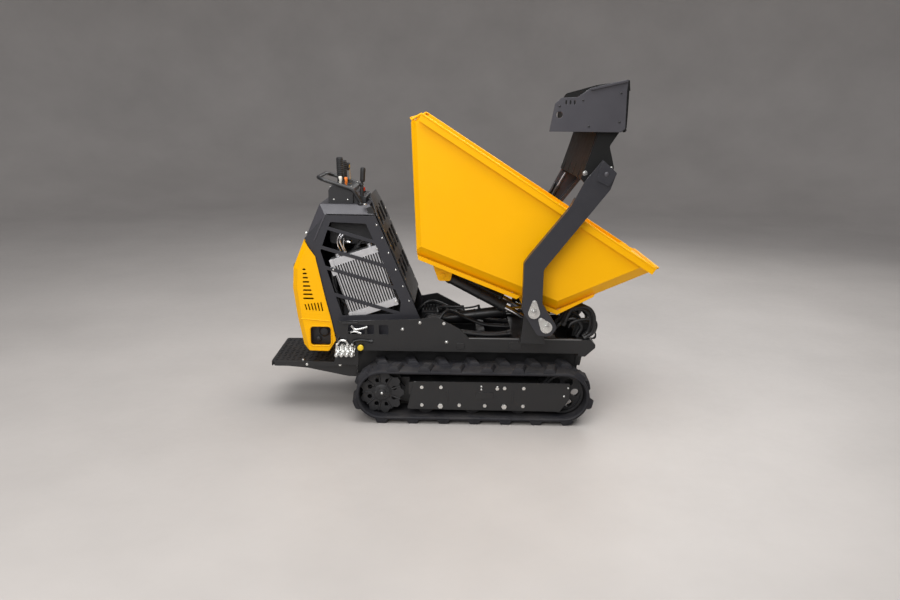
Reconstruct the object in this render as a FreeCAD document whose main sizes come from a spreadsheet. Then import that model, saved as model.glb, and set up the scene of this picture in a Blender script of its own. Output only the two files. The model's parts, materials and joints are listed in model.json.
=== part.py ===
"""Tracked mini dumper with a tipping skip and a self-loading shovel.

Row frame, in millimetres: +X forward (the end the skip tips over), +Y to the machine's left, +Z up,
with the origin on the ground under the middle of the whole machine. The numbers below are measured
from the ground under the middle of the tracks; each finished part is then moved forward by the
track_centre cell. The skip, the arms and the shovel are built in the half-tipped, arms-up pose, which
is the rest pose of every joint.
"""
import FreeCAD
import Part
import math
import os
import re
from FreeCAD import Placement, Rotation, Vector

doc = FreeCAD.newDocument("tracked_mini_dumper")

DIMENSIONS = {
    "track_centre": 65.0,
    # undercarriage
    "track_half_gauge": 280.0, "belt_width": 180.0, "belt_radius": 121.0, "belt_thickness": 16.0,
    "lug_height": 18.0, "wheelbase_half": 427.0, "axle_height": 139.0, "side_plate_out": 340.0,
    "side_plate_thickness": 6.0, "roller_radius": 46.0, "roller_spacing": 220.0,
    "sprocket_radius": 104.0, "idler_radius": 104.5, "roller_axle_radius": 10.0,
    "wheel_axle_radius": 15.0, "running_gap": 0.05,
    "frame_plate_in": 236.0, "frame_plate_out": 246.0, "motor_in": 182.0, "axle_out": 330.0,
    "hub_in": 247.0, "hub_out": 326.0, "disc_in": 249.0, "disc_out": 323.0, "disc_plate": 9.0,
    "wheel_in": 250.0, "wheel_out": 310.0, "wheel_web": 12.0, "roller_flange": 20.0,
    # chassis
    "rail_out": 250.0, "rail_width": 30.0, "rail_bottom": 320.0, "rail_top": 388.0,
    "belly_out": 172.0, "belly_plate": 8.0, "deck_thickness": 8.0, "ear_in": 303.0, "ear_out": 323.0,
    "step_half_width": 200.0, "step_top": 245.0, "step_sheet": 6.0, "step_edge": 22.0,
    "gusset_in": 176.0, "gusset_plate": 8.0, "lashing_hole_radius": 14.0, "lashing_plate": 12.0,
    "frame_plate": 8.0, "lug_gap": 16.0, "lug_plate": 8.0, "lift_lug_in": 30.0, "hose_lug_in": 150.0,
    # tower and rear cover
    "tower_out": 205.0, "tower_sheet": 3.0, "front_plate": 5.0, "cover_out": 215.0, "cover_wall": 4.0,
    # skip
    "skip_half_width": 300.0, "skip_wall": 4.0, "skip_fold": 50.0, "skip_corner": 24.0, "rim_out": 320.0,
    "rim_depth": 35.0, "hinge_lug_in": 150.0, "hinge_lug": 24.0, "bracket_gap": 30.0, "bracket_plate": 8.0,
    # main pivot, arms and shovel
    "pivot_radius": 16.0, "lift_crank_in": 16.0, "lift_crank_plate": 10.0, "crank_in": 326.0,
    "crank_out": 342.0, "arm_in": 345.0, "arm_out": 385.0,
    "arm_plate": 6.0, "arm_pin_radius": 14.0, "flag_thickness": 6.0, "shovel_half_width": 372.0,
    "shovel_plate": 6.0, "shovel_pin_radius": 12.0, "guard_out": 385.0,
    # cylinders
    "dump_offset": 100.0, "dump_barrel_radius": 25.0, "dump_rod_radius": 14.0, "dump_pin_radius": 12.0,
    "lift_barrel_radius": 27.0, "lift_rod_radius": 14.0, "lift_pin_radius": 10.0,
    "tilt_offset": 364.0, "tilt_barrel_radius": 13.0, "tilt_rod_radius": 8.0, "tilt_pin_radius": 9.0,
    # handlebar and levers
    "bar_radius": 9.0, "bar_half_width": 148.0, "console_half_width": 132.0, "lever_radius": 5.0,
    "small_bolt": 8.0, "large_bolt": 13.0,
}

sheet = doc.addObject("Spreadsheet::Sheet", "dimensions")
for row, (alias, number) in enumerate(DIMENSIONS.items(), 1):
    sheet.set("A%d" % row, alias)
    sheet.set("B%d" % row, str(number))
    sheet.setAlias("B%d" % row, alias)
doc.recompute()

RIGHT, LEFT = -1, 1
SIDE_NAMES = {RIGHT: "right", LEFT: "left"}
Y_AXIS = Vector(0, 1, 0)

# Pivots, as (x, z)
MAIN_PIVOT = (268.0, 552.0)        # skip and arms turn about this one axis
ARM_SECOND_PIN = (326.0, 485.0)
LIFT_CRANK = (326.0, 485.0)
LIFT_BASE = (-215.0, 408.0)
DUMP_TOP = (-150.0, 666.0)         # dump cylinder's pin under the skip
DUMP_BASE = (330.0, 416.0)         # dump cylinder's pin on the chassis
SHOVEL_PIVOT = (558.0, 1178.0)
TILT_PIN = (497.0, 1150.0)         # tilt cylinder's pin on the shovel
TILT_BASE = (335.0, 850.0)         # tilt cylinder's seat inside the arm
ROLLER_NAMES = ("rear", "middle", "front")

# Skip outline seen from the side, from the rear bottom corner up and round, as (x, z)
SKIP_REAR_BOTTOM = (-268.0, 787.0)
SKIP_REAR_TOP = (-298.0, 1403.0)
SKIP_RIM_REAR = (-248.0, 1425.0)
SKIP_RIM_FRONT = (826.0, 751.0)
SKIP_LIP = (853.0, 740.0)
SKIP_FRONT_BOTTOM = (386.0, 534.0)

# Sloping front of the tower, as (x, z) at its foot and its head
TOWER_FOOT = (-287.0, 545.0)
TOWER_HEAD = (-499.0, 1045.0)

nodes = []


def dim(alias):
    return float(sheet.get(alias))


def bound(text):
    """Turns the sheet's aliases in an expression into references to its cells."""
    return re.sub(r"[a-z]\w+", lambda m: "dimensions." + m.group(0) if m.group(0) in DIMENSIONS
                  else m.group(0), text)


def node(thing, label):
    thing.Label = label
    thing.Placement = Placement(Vector(dim("track_centre"), 0, 0), Rotation()) * thing.Placement
    nodes.append(thing)
    return thing


# ---------------------------------------------------------------- outlines

def outline(*points):
    """A closed outline of lines; a point given as (x, z, r) is rounded with radius r."""
    corners = []
    count = len(points)
    for i, point in enumerate(points):
        here = Vector(point[0], point[1], 0)
        radius = point[2] if len(point) > 2 else 0.0
        if not radius:
            corners.append((here, None, here))
            continue
        before = Vector(points[i - 1][0], points[i - 1][1], 0) - here
        after = Vector(points[(i + 1) % count][0], points[(i + 1) % count][1], 0) - here
        before.normalize()
        after.normalize()
        half = before.getAngle(after) / 2
        reach = radius / math.tan(half)
        middle = before + after
        middle.normalize()
        top = here + middle * (radius / math.sin(half) - radius)
        corners.append((here + before * reach, top, here + after * reach))
    edges = []
    for i, (start, top, end) in enumerate(corners):
        if top:
            edges.append(Part.Arc(start, top, end))
        following = corners[(i + 1) % count][0]
        if end.distanceToPoint(following) > 1e-6:
            edges.append(Part.LineSegment(end, following))
    return edges


def circle(centre, radius):
    return [Part.Circle(Vector(centre[0], centre[1], 0), Vector(0, 0, 1), radius)]


def rectangle(low, high, radius=0.0):
    return outline((low[0], low[1], radius), (high[0], low[1], radius),
                   (high[0], high[1], radius), (low[0], high[1], radius))


def strip(start, end, width):
    """A rectangle of the given width along the line from start to end."""
    along = Vector(end[0] - start[0], end[1] - start[1], 0)
    along.normalize()
    across = Vector(-along.y, along.x, 0) * (width / 2)
    return outline((start[0] + across.x, start[1] + across.y), (start[0] - across.x, start[1] - across.y),
                   (end[0] - across.x, end[1] - across.y), (end[0] + across.x, end[1] + across.y))


def beyond(start, end, distance):
    """The point at a distance from start on the line towards end."""
    length = math.hypot(end[0] - start[0], end[1] - start[1])
    share = distance / length
    return (start[0] + (end[0] - start[0]) * share, start[1] + (end[1] - start[1]) * share)


def inset(points, depth):
    """An outline moved in by depth on every side; the points run clockwise in x and z."""
    moved = []
    count = len(points)
    for i in range(count):
        here, before, after = (Vector(points[k % count][0], points[k % count][1], 0)
                               for k in (i, i - 1, i + 1))
        into = (here - before).normalize()
        out = (after - here).normalize()
        first = Vector(into.y, -into.x, 0)
        second = Vector(out.y, -out.x, 0)
        corner = here + (first + second) * (depth / (1 + first.dot(second)))
        moved.append((corner.x, corner.y))
    return moved


# ---------------------------------------------------------------- solids

def origin_plane(body, role):
    return [f for f in body.Origin.OriginFeatures if f.Role == role][0]


def add_sketch(body, plane, loops, offset):
    sketch = body.newObject("Sketcher::SketchObject", "sketch")
    sketch.AttachmentSupport = [(origin_plane(body, plane), "")]
    sketch.MapMode = "FlatFace"
    for loop in loops:
        sketch.addGeometry(loop, False)
    sketch.setExpression("AttachmentOffset.Base.z", bound(offset))
    return sketch


def pad(body, plane, loops, low, high):
    """Pads the loops between two coordinates on the axis across the plane."""
    offset = "-(%s)" % high if plane == "XZ_Plane" else low
    sketch = add_sketch(body, plane, loops, offset)
    feature = body.newObject("PartDesign::Pad", "pad")
    feature.Profile = sketch
    feature.setExpression("Length", bound("(%s) - (%s)" % (high, low)))
    body.Tip = feature
    return feature


def extrusion(plane, loops, low, high):
    body = doc.addObject("PartDesign::Body", "body")
    pad(body, plane, loops, low, high)
    return body


def plate(loops, low, high):
    """A plate parallel to the machine's side, between two Y expressions."""
    return extrusion("XZ_Plane", loops, low, high)


def span(side, inner, outer):
    """Y expressions, low then high, of something between two distances from the middle."""
    if side == RIGHT:
        return "-(%s)" % outer, "-(%s)" % inner
    return inner, outer


def side_plate(side, loops, inner, outer):
    return plate(loops, *span(side, inner, outer))


def across(loops, reach):
    """A plate or bar across the machine, as far to the right as to the left."""
    return plate(loops, "-(%s)" % reach, reach)


def rod(start, end, radius):
    """A round bar from start to end; radius is an expression or a number."""
    start, end = Vector(*start), Vector(*end)
    bar = doc.addObject("Part::Cylinder", "rod")
    if isinstance(radius, str):
        bar.setExpression("Radius", bound(radius))
    else:
        bar.Radius = radius
    bar.Height = (end - start).Length
    bar.Placement = Placement(start, Rotation(Vector(0, 0, 1), end - start))
    return bar


def cross_rod(centre, low, high, radius):
    """A round bar along Y at (x, z), between two Y numbers."""
    return rod((centre[0], low, centre[1]), (centre[0], high, centre[1]), radius)


def box(low, high):
    block = doc.addObject("Part::Box", "box")
    block.Length, block.Width, block.Height = (high[i] - low[i] for i in range(3))
    block.Placement = Placement(Vector(*low), Rotation())
    return block


def fused(*things):
    joined = doc.addObject("Part::MultiFuse", "fused")
    joined.Shapes = list(things)
    joined.Refine = True
    return joined


def cut(base, *tools):
    taken = doc.addObject("Part::Cut", "cut")
    taken.Base = base
    taken.Tool = tools[0] if len(tools) == 1 else fused(*tools)
    return taken


def common(first, second):
    shared = doc.addObject("Part::Common", "common")
    shared.Base = first
    shared.Tool = second
    return shared


def group(*things):
    """Separate solids that make one node."""
    together = doc.addObject("Part::Compound", "group")
    together.Links = list(things)
    return together


def hose(points, radius):
    """A hose of round section through the points."""
    curve = Part.BSplineCurve()
    curve.interpolate([Vector(*p) for p in points])
    path = Part.Wire(curve.toShape())
    start = Vector(*points[0])
    end_ring = Part.Wire(Part.Circle(start, curve.tangent(curve.FirstParameter)[0], radius).toShape())
    thing = doc.addObject("Part::Feature", "hose")
    thing.Shape = Part.Solid(path.makePipeShell([end_ring], True, True))
    return thing


def bolt_heads(places, y, side, radius, height):
    """Hexagon bolt heads standing on a face at distance y from the middle, at each (x, z)."""
    heads = []
    for x, z in places:
        hexagon = [(x + radius * math.cos(math.radians(60 * k)), z + radius * math.sin(math.radians(60 * k)))
                   for k in range(6)]
        heads.append(side_plate(side, [outline(*hexagon)], str(y), str(y + height)))
    return heads


# ---------------------------------------------------------------- undercarriage

BELT_RADIUS = dim("belt_radius")
AXLE_HEIGHT = dim("axle_height")
WHEELBASE_HALF = dim("wheelbase_half")
STRAIGHT = 2 * WHEELBASE_HALF
BELT_LOOP = 2 * STRAIGHT + 2 * math.pi * BELT_RADIUS
LUG_PAIRS = 17                       # lugs on each half of the belt's width
LUG_LENGTH = 46.0
ARC_STEP = 12.0


def on_belt(distance, height):
    """A point on the belt: distance runs round the loop from the middle of the ground run."""
    distance = (distance + STRAIGHT / 2) % BELT_LOOP
    arc = math.pi * BELT_RADIUS
    reach = BELT_RADIUS + height
    if distance < STRAIGHT:
        return (distance - WHEELBASE_HALF, AXLE_HEIGHT - reach)
    distance -= STRAIGHT
    if distance < arc:
        turn = distance / BELT_RADIUS
        return (WHEELBASE_HALF + reach * math.sin(turn), AXLE_HEIGHT - reach * math.cos(turn))
    distance -= arc
    if distance < STRAIGHT:
        return (WHEELBASE_HALF - distance, AXLE_HEIGHT + reach)
    turn = (distance - STRAIGHT) / BELT_RADIUS
    return (-WHEELBASE_HALF - reach * math.sin(turn), AXLE_HEIGHT + reach * math.cos(turn))


def belt_outline(phase):
    """Outer outline of one half of the belt's width, with a lug at every other pitch."""
    lug = dim("lug_height")
    pitch = BELT_LOOP / LUG_PAIRS
    points = []
    for i in range(LUG_PAIRS):
        centre = (i + phase) * pitch
        start, end = centre - LUG_LENGTH / 2, centre + LUG_LENGTH / 2
        points += [on_belt(start, 0), on_belt(start + 5, lug), on_belt(end - 5, lug), on_belt(end, 0)]
        gap = pitch - LUG_LENGTH
        steps = int(gap / ARC_STEP)
        points += [on_belt(end + gap * k / steps, 0) for k in range(1, steps)]
    return outline(*points)


def stadium(radius):
    """The belt's loop at a given distance from the wheel centres."""
    low, high = AXLE_HEIGHT - radius, AXLE_HEIGHT + radius
    front, rear = WHEELBASE_HALF, -WHEELBASE_HALF
    return [Part.LineSegment(Vector(rear, low, 0), Vector(front, low, 0)),
            Part.Arc(Vector(front, low, 0), Vector(front + radius, AXLE_HEIGHT, 0), Vector(front, high, 0)),
            Part.LineSegment(Vector(front, high, 0), Vector(rear, high, 0)),
            Part.Arc(Vector(rear, high, 0), Vector(rear - radius, AXLE_HEIGHT, 0), Vector(rear, low, 0))]


def track_belt(side):
    inner_loop = stadium(BELT_RADIUS - dim("belt_thickness"))
    body = doc.addObject("PartDesign::Body", "belt")
    halves = ((0.0, "track_half_gauge", "track_half_gauge + belt_width / 2"),
              (0.5, "track_half_gauge - belt_width / 2", "track_half_gauge"))
    for phase, inner, outer in halves:
        pad(body, "XZ_Plane", [belt_outline(phase), inner_loop], *span(side, inner, outer))
    node(body, SIDE_NAMES[side] + "_track_belt")


def polar(centre, radius, degrees):
    angle = math.radians(degrees)
    return (centre[0] + radius * math.cos(angle), centre[1] + radius * math.sin(angle))


def sprocket(side):
    """Two toothed discs on a hub that turns on the drive motor's shaft."""
    centre = (-WHEELBASE_HALF, AXLE_HEIGHT)
    teeth = 9
    tip = dim("sprocket_radius")
    rim = []
    for k in range(teeth):
        at = 360.0 / teeth * k
        rim += [polar(centre, tip - 13, at - 13), polar(centre, tip, at - 5),
                polar(centre, tip, at + 5), polar(centre, tip - 13, at + 13)]
    bore = dim("wheel_axle_radius") + dim("running_gap")
    holes = [circle(polar(centre, 62, 45 * k + 20), 11) for k in range(8)]
    body = doc.addObject("PartDesign::Body", "sprocket")
    pad(body, "XZ_Plane", [circle(centre, 44), circle(centre, bore)], *span(side, "hub_in", "hub_out"))
    for inner, outer in (("disc_in", "disc_in + disc_plate"), ("disc_out - disc_plate", "disc_out")):
        pad(body, "XZ_Plane", [outline(*rim), circle(centre, bore)] + holes, *span(side, inner, outer))
    node(body, SIDE_NAMES[side] + "_sprocket")


def idler(side):
    """Spoked idler wheel with a solid rim."""
    centre = (WHEELBASE_HALF, AXLE_HEIGHT)
    bore = dim("wheel_axle_radius") + dim("running_gap")
    holes = [circle(polar(centre, 60, 60 * k), 19) for k in range(6)]
    body = doc.addObject("PartDesign::Body", "idler")
    pad(body, "XZ_Plane", [circle(centre, dim("idler_radius")), circle(centre, bore)] + holes,
        *span(side, "track_half_gauge - wheel_web", "track_half_gauge + wheel_web"))
    pad(body, "XZ_Plane", [circle(centre, 36), circle(centre, bore)],
        *span(side, "wheel_in + 2", "wheel_out - 2"))
    rims = (circle(centre, dim("idler_radius") - 8), circle(centre, dim("idler_radius") - 18))
    pad(body, "XZ_Plane", list(rims), *span(side, "wheel_in", "wheel_out"))
    node(body, SIDE_NAMES[side] + "_idler")


def roller_centre(index):
    inner_face = AXLE_HEIGHT - BELT_RADIUS + dim("belt_thickness")
    return ((index - 1) * dim("roller_spacing"), inner_face + 1 + dim("roller_radius"))


def roller(side, index):
    """Double-flanged bottom roller, grooved in the middle."""
    centre = roller_centre(index)
    bore = dim("roller_axle_radius") + dim("running_gap")
    body = doc.addObject("PartDesign::Body", "roller")
    pad(body, "XZ_Plane", [circle(centre, 30), circle(centre, bore)],
        *span(side, "wheel_in - 2", "wheel_out + 2"))
    flanges = (("wheel_in", "wheel_in + roller_flange"), ("wheel_out - roller_flange", "wheel_out"))
    for inner, outer in flanges:
        pad(body, "XZ_Plane", [circle(centre, dim("roller_radius")), circle(centre, bore)],
            *span(side, inner, outer))
    node(body, "%s_roller_%s" % (SIDE_NAMES[side], ROLLER_NAMES[index]))


PLATE_OUTLINE = ((-276, 200, 8), (-308, 64, 8), (412, 60, 8), (455, 120, 8), (455, 200, 8))


def track_frame(side):
    """Beam inside the belt, with its inner plate, motor, wheel axles and roller axles."""
    sprocket_at = (-WHEELBASE_HALF, AXLE_HEIGHT)
    idler_at = (WHEELBASE_HALF, AXLE_HEIGHT)
    outer_face = "side_plate_out - side_plate_thickness"
    axle_radius = dim("wheel_axle_radius")
    beam = side_plate(side, [rectangle((-300, 134), (310, 196), 6)], "frame_plate_out", outer_face)
    inner = side_plate(side, [outline((-490, 190, 20), (-490, 100, 20), (-300, 62, 8), (430, 62, 30),
                                      (470, 110, 30), (470, 190, 10))], "frame_plate_in", "frame_plate_out")
    motor = side_plate(side, [circle(sprocket_at, 40)], "motor_in", "frame_plate_out - 2")
    shaft = side_plate(side, [circle(sprocket_at, axle_radius)], "frame_plate_out - 2", "axle_out")
    axle = side_plate(side, [circle(idler_at, axle_radius)], "frame_plate_out", "axle_out")
    pins = [side_plate(side, [circle(roller_centre(i), dim("roller_axle_radius"))], "frame_plate_out",
                       outer_face) for i in range(3)]
    arm = side_plate(side, [rectangle((300, 150), (445, 180), 4)], "axle_out - 16", "axle_out + 2")
    node(fused(beam, inner, motor, shaft, axle, arm, *pins), SIDE_NAMES[side] + "_track_frame")


def cover_plate(side):
    plate_thing = side_plate(side, [outline(*PLATE_OUTLINE)], "side_plate_out - side_plate_thickness",
                             "side_plate_out")
    node(plate_thing, SIDE_NAMES[side] + "_side_plate")


SMALL_BOLTS = ((-239, 174), (-149, 175), (-238, 86), (-62, 87), (115, 172), (149, 174), (239, 175),
               (58, 86), (238, 86))
LARGE_BOLTS = ((-151, 82), (149, 83))


def side_plate_bolts():
    heads = []
    for side in (RIGHT, LEFT):
        heads += bolt_heads(SMALL_BOLTS, dim("side_plate_out"), side, dim("small_bolt") + 1, 6)
        heads += bolt_heads(LARGE_BOLTS, dim("side_plate_out"), side, dim("large_bolt"), 9)
    node(group(*heads), "side_plate_bolts")


def undercarriage():
    for side in (RIGHT, LEFT):
        track_belt(side)
        sprocket(side)
        idler(side)
        for index in range(3):
            roller(side, index)
        track_frame(side)
        cover_plate(side)
    side_plate_bolts()


# ---------------------------------------------------------------- chassis

FRAME_OPENINGS = ((-592, -514), (-502, -470), (-446, -402))


def ear_outline():
    x, z = MAIN_PIVOT
    top = dim("rail_top")
    return outline((x - 52, top), (x + 64, top), (x + 34, z + 27, 30), (x - 34, z + 27, 30))


def chassis_frame():
    """Rails, belly box, cross members, nose, pivot ears and cylinder lugs, welded into one piece."""
    parts = []
    pivot_bore = dim("pivot_radius") + dim("running_gap")
    for side in (RIGHT, LEFT):
        parts.append(side_plate(side, [rectangle((-545, dim("rail_bottom")), (520, dim("rail_top")), 6)],
                                "rail_out - rail_width", "rail_out"))
        parts.append(side_plate(side, [outline((-520, 345), (-520, 130, 20), (-480, 110), (470, 110),
                                               (510, 150), (510, 345))],
                                "belly_out - belly_plate", "belly_out"))
        parts.append(side_plate(side, [ear_outline(), circle(MAIN_PIVOT, pivot_bore)], "ear_in", "ear_out"))
        parts.append(side_plate(side, [rectangle((214, dim("rail_top")), (330, dim("rail_top") + 26))],
                                "rail_out - rail_width", "ear_in"))
        frame_holes = [rectangle((low, 400), (high, 447), 6) for low, high in FRAME_OPENINGS]
        parts.append(side_plate(side, [outline((-650, 330, 10), (-650, 400, 10), (-640, 462), (-254, 478),
                                               (-180, 492, 20), (-60, 430, 20), (-20, 388), (-20, 330)),
                                       *frame_holes], "rail_out - frame_plate", "rail_out"))
        for lug in ("dump_offset - lug_gap - lug_plate", "dump_offset + lug_gap"):
            parts.append(side_plate(side, [outline((DUMP_BASE[0] - 34, 370), (DUMP_BASE[0] + 34, 370),
                                                   (DUMP_BASE[0] + 20, DUMP_BASE[1] + 20, 18),
                                                   (DUMP_BASE[0] - 20, DUMP_BASE[1] + 20, 18))],
                                    lug, lug + " + lug_plate"))
        parts.append(side_plate(side, [outline((LIFT_BASE[0] - 50, 340), (LIFT_BASE[0] + 50, 340),
                                               (LIFT_BASE[0] + 24, LIFT_BASE[1] + 24, 22),
                                               (LIFT_BASE[0] - 24, LIFT_BASE[1] + 24, 22))],
                                "lift_lug_in", "lift_lug_in + lug_plate"))
        parts.append(side_plate(side, [outline((478, 380), (556, 380), (572, 470, 12), (500, 470, 12))],
                                "hose_lug_in", "hose_lug_in + 6"))
    rail_gap = "rail_out - rail_width + 2"
    parts.append(across([rectangle((-645, dim("rail_top") - dim("deck_thickness")),
                                   (-300, dim("rail_top")))], "rail_out - frame_plate"))
    parts.append(across([rectangle((-300, 330), (-150, 350))], rail_gap))
    parts.append(across([rectangle((20, 330), (60, 380))], rail_gap))
    parts.append(across([rectangle((190, 330), (400, 376))], rail_gap))
    parts.append(across([rectangle((-560, 118), (-520, 388))], "belly_out"))
    parts.append(across([rectangle((-480, 110), (470, 116))], "belly_out"))
    for x in (-200, 250):
        parts.append(across([rectangle((x, 120), (x + 60, 180), 6)], "frame_plate_in"))
    parts.append(across([outline((500, 306), (534, 306), (580, 350), (580, 364), (556, 388), (500, 388))],
                        "rail_out"))
    parts.append(across([outline((500, 240), (522, 240), (534, 306), (500, 306))], "belly_out + 8"))
    parts.append(across([outline((570, 345), (600, 322, 12), (628, 322, 14), (628, 368, 20), (570, 362)),
                         circle((608, 342), dim("lashing_hole_radius"))], "lashing_plate / 2"))
    return node(fused(*parts), "chassis_frame")


def rear_step():
    """Tread plate the operator stands on, with its turned-down edges and gussets."""
    top, edge, half = dim("step_top"), dim("step_edge"), dim("step_half_width")
    sheet_bottom = top - dim("step_sheet") + 4
    tread = extrusion("XY_Plane", [rectangle((-972, -half), (-600, half), 14)], "step_top - step_sheet",
                      "step_top")
    rear = extrusion("YZ_Plane", [rectangle((4 - half, top - edge - 2), (half - 4, sheet_bottom))],
                     "-972", "-972 + step_sheet")
    parts = [tread, rear]
    for side in (RIGHT, LEFT):
        parts.append(side_plate(side, [outline((-971, top - 1), (-971, 222), (-800, 208), (-600, 168),
                                               (-560, 168), (-560, top - 1))],
                                "gusset_in", "gusset_in + gusset_plate"))
        parts.append(side_plate(side, [rectangle((-958, top - edge - 2), (-602, sheet_bottom))],
                                "step_half_width - step_sheet", "step_half_width"))
    node(fused(*parts), "rear_step")


def frame_bolts():
    heads = []
    for side in (RIGHT, LEFT):
        heads += bolt_heads(((-335, 429), (-253, 462), (-140, 460), (-126, 369)), dim("rail_out"), side,
                            dim("small_bolt"), 6)
        heads += bolt_heads(((-800, 232), (-640, 232)), dim("step_half_width"), side,
                            dim("small_bolt") - 1, 5)
        outer_lug = "dump_offset + lug_gap + lug_plate"
        heads.append(side_plate(side, [circle(DUMP_BASE, 16)], outer_lug, outer_lug + " + 7"))
    node(group(*heads), "frame_bolts")


def hose_fittings():
    """Hydraulic couplers on the right of the frame, behind the track."""
    block = box((-652, -274, 300), (-560, -252, 326))
    parts = [block]
    for k in range(4):
        parts.append(cross_rod((-640 + 23 * k, 313), -292, -274, 8.0))
        parts.append(rod((-640 + 23 * k, -263, 326), (-640 + 23 * k, -263, 344), 7.0))
    bracket = box((-652, -252, 306), (-560, -250, 345))
    node(fused(bracket, *parts), "hose_fittings")


# ---------------------------------------------------------------- tower

PANEL_OUTLINE = ((-692, 958), (-464, 957), (-285, 542), (-254, 470), (-254, 388), (-668, 388), (-682, 456),
                 (-763, 779))
WINDOW_OUTLINE = ((-674, 926, 8), (-508, 920, 8), (-346, 548, 8), (-352, 492, 8), (-624, 478, 8),
                  (-722, 790, 8))
STRAP_STARTS = ((-735, 911), (-765, 820), (-740, 722), (-740, 604))
STRAP_SLOPE = math.tan(math.radians(16))


def tower_panel(side):
    """Side sheet of the tower, its window crossed by four slanting straps."""
    low, high = span(side, "tower_out - tower_sheet", "tower_out")
    frame = plate([outline(*PANEL_OUTLINE), outline(*WINDOW_OUTLINE)], low, high)
    straps = []
    for x, z in STRAP_STARTS:
        end = (-300, z - (-300 - x) * STRAP_SLOPE)
        straps.append(plate([strip((x, z), end, 16)], low, high))
    whole = plate([outline(*PANEL_OUTLINE)], low, high)
    held = common(fused(*straps), whole)
    node(fused(frame, held), SIDE_NAMES[side] + "_tower_panel")


def tower_front():
    """Sloping front plate of the tower, with lightening holes."""
    width = dim("tower_out") - 5
    length = math.hypot(TOWER_HEAD[0] - TOWER_FOOT[0], TOWER_HEAD[1] - TOWER_FOOT[1])
    lean = math.degrees(math.atan2(TOWER_FOOT[0] - TOWER_HEAD[0], TOWER_HEAD[1] - TOWER_FOOT[1]))
    holes = []
    for y in (-120, 0, 120):
        for low, high in ((length - 150, length - 60), (length - 290, length - 190), (120, 210)):
            holes.append(rectangle((y - 38, low), (y + 38, high), 14))
    body = extrusion("YZ_Plane", [outline((-width, 0), (width, 0), (width, length - 90, 20),
                                          (width - 70, length, 20), (70 - width, length, 20),
                                          (-width, length - 90, 20))] + holes, "0", "front_plate")
    body.Placement = Placement(Vector(TOWER_FOOT[0] + 3, 0, TOWER_FOOT[1]), Rotation(Y_AXIS, -lean))
    node(body, "tower_front_plate")


def tower_top():
    """Folded top of the tower with sloping shoulders down to the side sheets."""
    profile = ((-796, 846), (-728, 1004), (-494, 1004), (-472, 962), (-692, 962), (-748, 836))
    inside = ((-794, 840), (-726, 1001), (-496, 1001), (-475, 955), (-688, 955), (-750, 820))
    outer = shouldered(profile, "tower_out", 44)
    hollow = shouldered(inside, "tower_out - tower_sheet", 42)
    node(cut(outer, hollow), "tower_top_cover")


def shouldered(profile, half_width, shoulder):
    """A block with the outline, chamfered along the top and the rear slope at both sides."""
    body = doc.addObject("PartDesign::Body", "top")
    feature = pad(body, "XZ_Plane", [outline(*profile)], "-(%s)" % half_width, half_width)
    doc.recompute()
    reach = feature.Shape.BoundBox.YMax
    shoulders = []
    for i, edge in enumerate(feature.Shape.Edges, 1):
        middle = edge.CenterOfMass
        along_side = abs(abs(middle.y) - reach) < 0.1
        upper = middle.z > 995 or (middle.x < -745 and 880 < middle.z < 960)
        if along_side and upper:
            shoulders.append("Edge%d" % i)
    chamfer = body.newObject("PartDesign::Chamfer", "shoulder")
    chamfer.Base = (feature, shoulders)
    chamfer.Size = shoulder
    body.Tip = chamfer
    return body


def oil_cooler():
    """Bar and plate cooler, tilted with the tower's front, with a header at each end."""
    centre, turn = Vector(-520, 0, 640), 19.0
    width, height = 232.0, 300.0
    core = box((-width / 2, -190, -height / 2 + 30), (width / 2, -140, height / 2 - 30))
    headers = [box((-width / 2 - 4, -194, low), (width / 2 + 4, -136, low + 32))
               for low in (-height / 2, height / 2 - 32)]
    ports = [rod((x, -165, height / 2), (x, -165, height / 2 + 16), 11.0) for x in (-80, 80)]
    whole = fused(core, *headers, *ports)
    whole.Placement = Placement(centre, Rotation(Y_AXIS, -turn))
    node(whole, "oil_cooler")


def engine_bay():
    engine = fused(box((-630, -100, 388), (-410, 110, 560)), box((-600, -80, 560), (-440, 90, 690)),
                   cross_rod((-520, 640), -112, -80, 28.0), cross_rod((-520, 470), 110, 130, 70.0))
    node(engine, "engine")
    tank = extrusion("XZ_Plane", [outline((-395, 388), (-292, 388), (-302, 515, 10), (-395, 535, 10))],
                     "-130", "195")
    node(tank, "hydraulic_tank")
    fuel = extrusion("XZ_Plane", [outline((-690, 810, 15), (-480, 810, 15), (-500, 920, 15),
                                          (-685, 920, 15))], "-110", "185")
    neck = rod((-600, 0, 915), (-600, 0, 930), 24.0)
    node(fused(fuel, neck), "fuel_tank")
    node(box((-640, 112, 580), (-520, 196, 740)), "battery")
    pump = fused(cross_rod((-520, 470), 130, 176, 42.0), cross_rod((-520, 470), 176, 196, 26.0))
    node(pump, "hydraulic_pump")
    valve = fused(box((-255, 80, 372), (-165, 170, 430)), *[
        rod((-242 + 16 * k, 125, 430), (-242 + 16 * k, 125, 456), 6.0) for k in range(5)])
    node(valve, "valve_block")


def cooling_fan():
    """Six-bladed fan between the engine and the cooler."""
    centre = (-520, 640)
    hub = cross_rod(centre, -128, -114, 30.0)
    blades = []
    for k in range(6):
        tip = polar(centre, 108, 60 * k)
        root = polar(centre, 20, 60 * k)
        blades.append(plate([strip(root, tip, 46)], "-124", "-118"))
    node(fused(hub, *blades), "cooling_fan")


COVER_OUTLINE = ((-800, 839), (-746, 764), (-701, 557), (-675, 453), (-656, 358, 12), (-690, 304, 14),
                 (-784, 306, 16), (-812, 331), (-839, 466), (-858, 607), (-853, 707))


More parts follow.
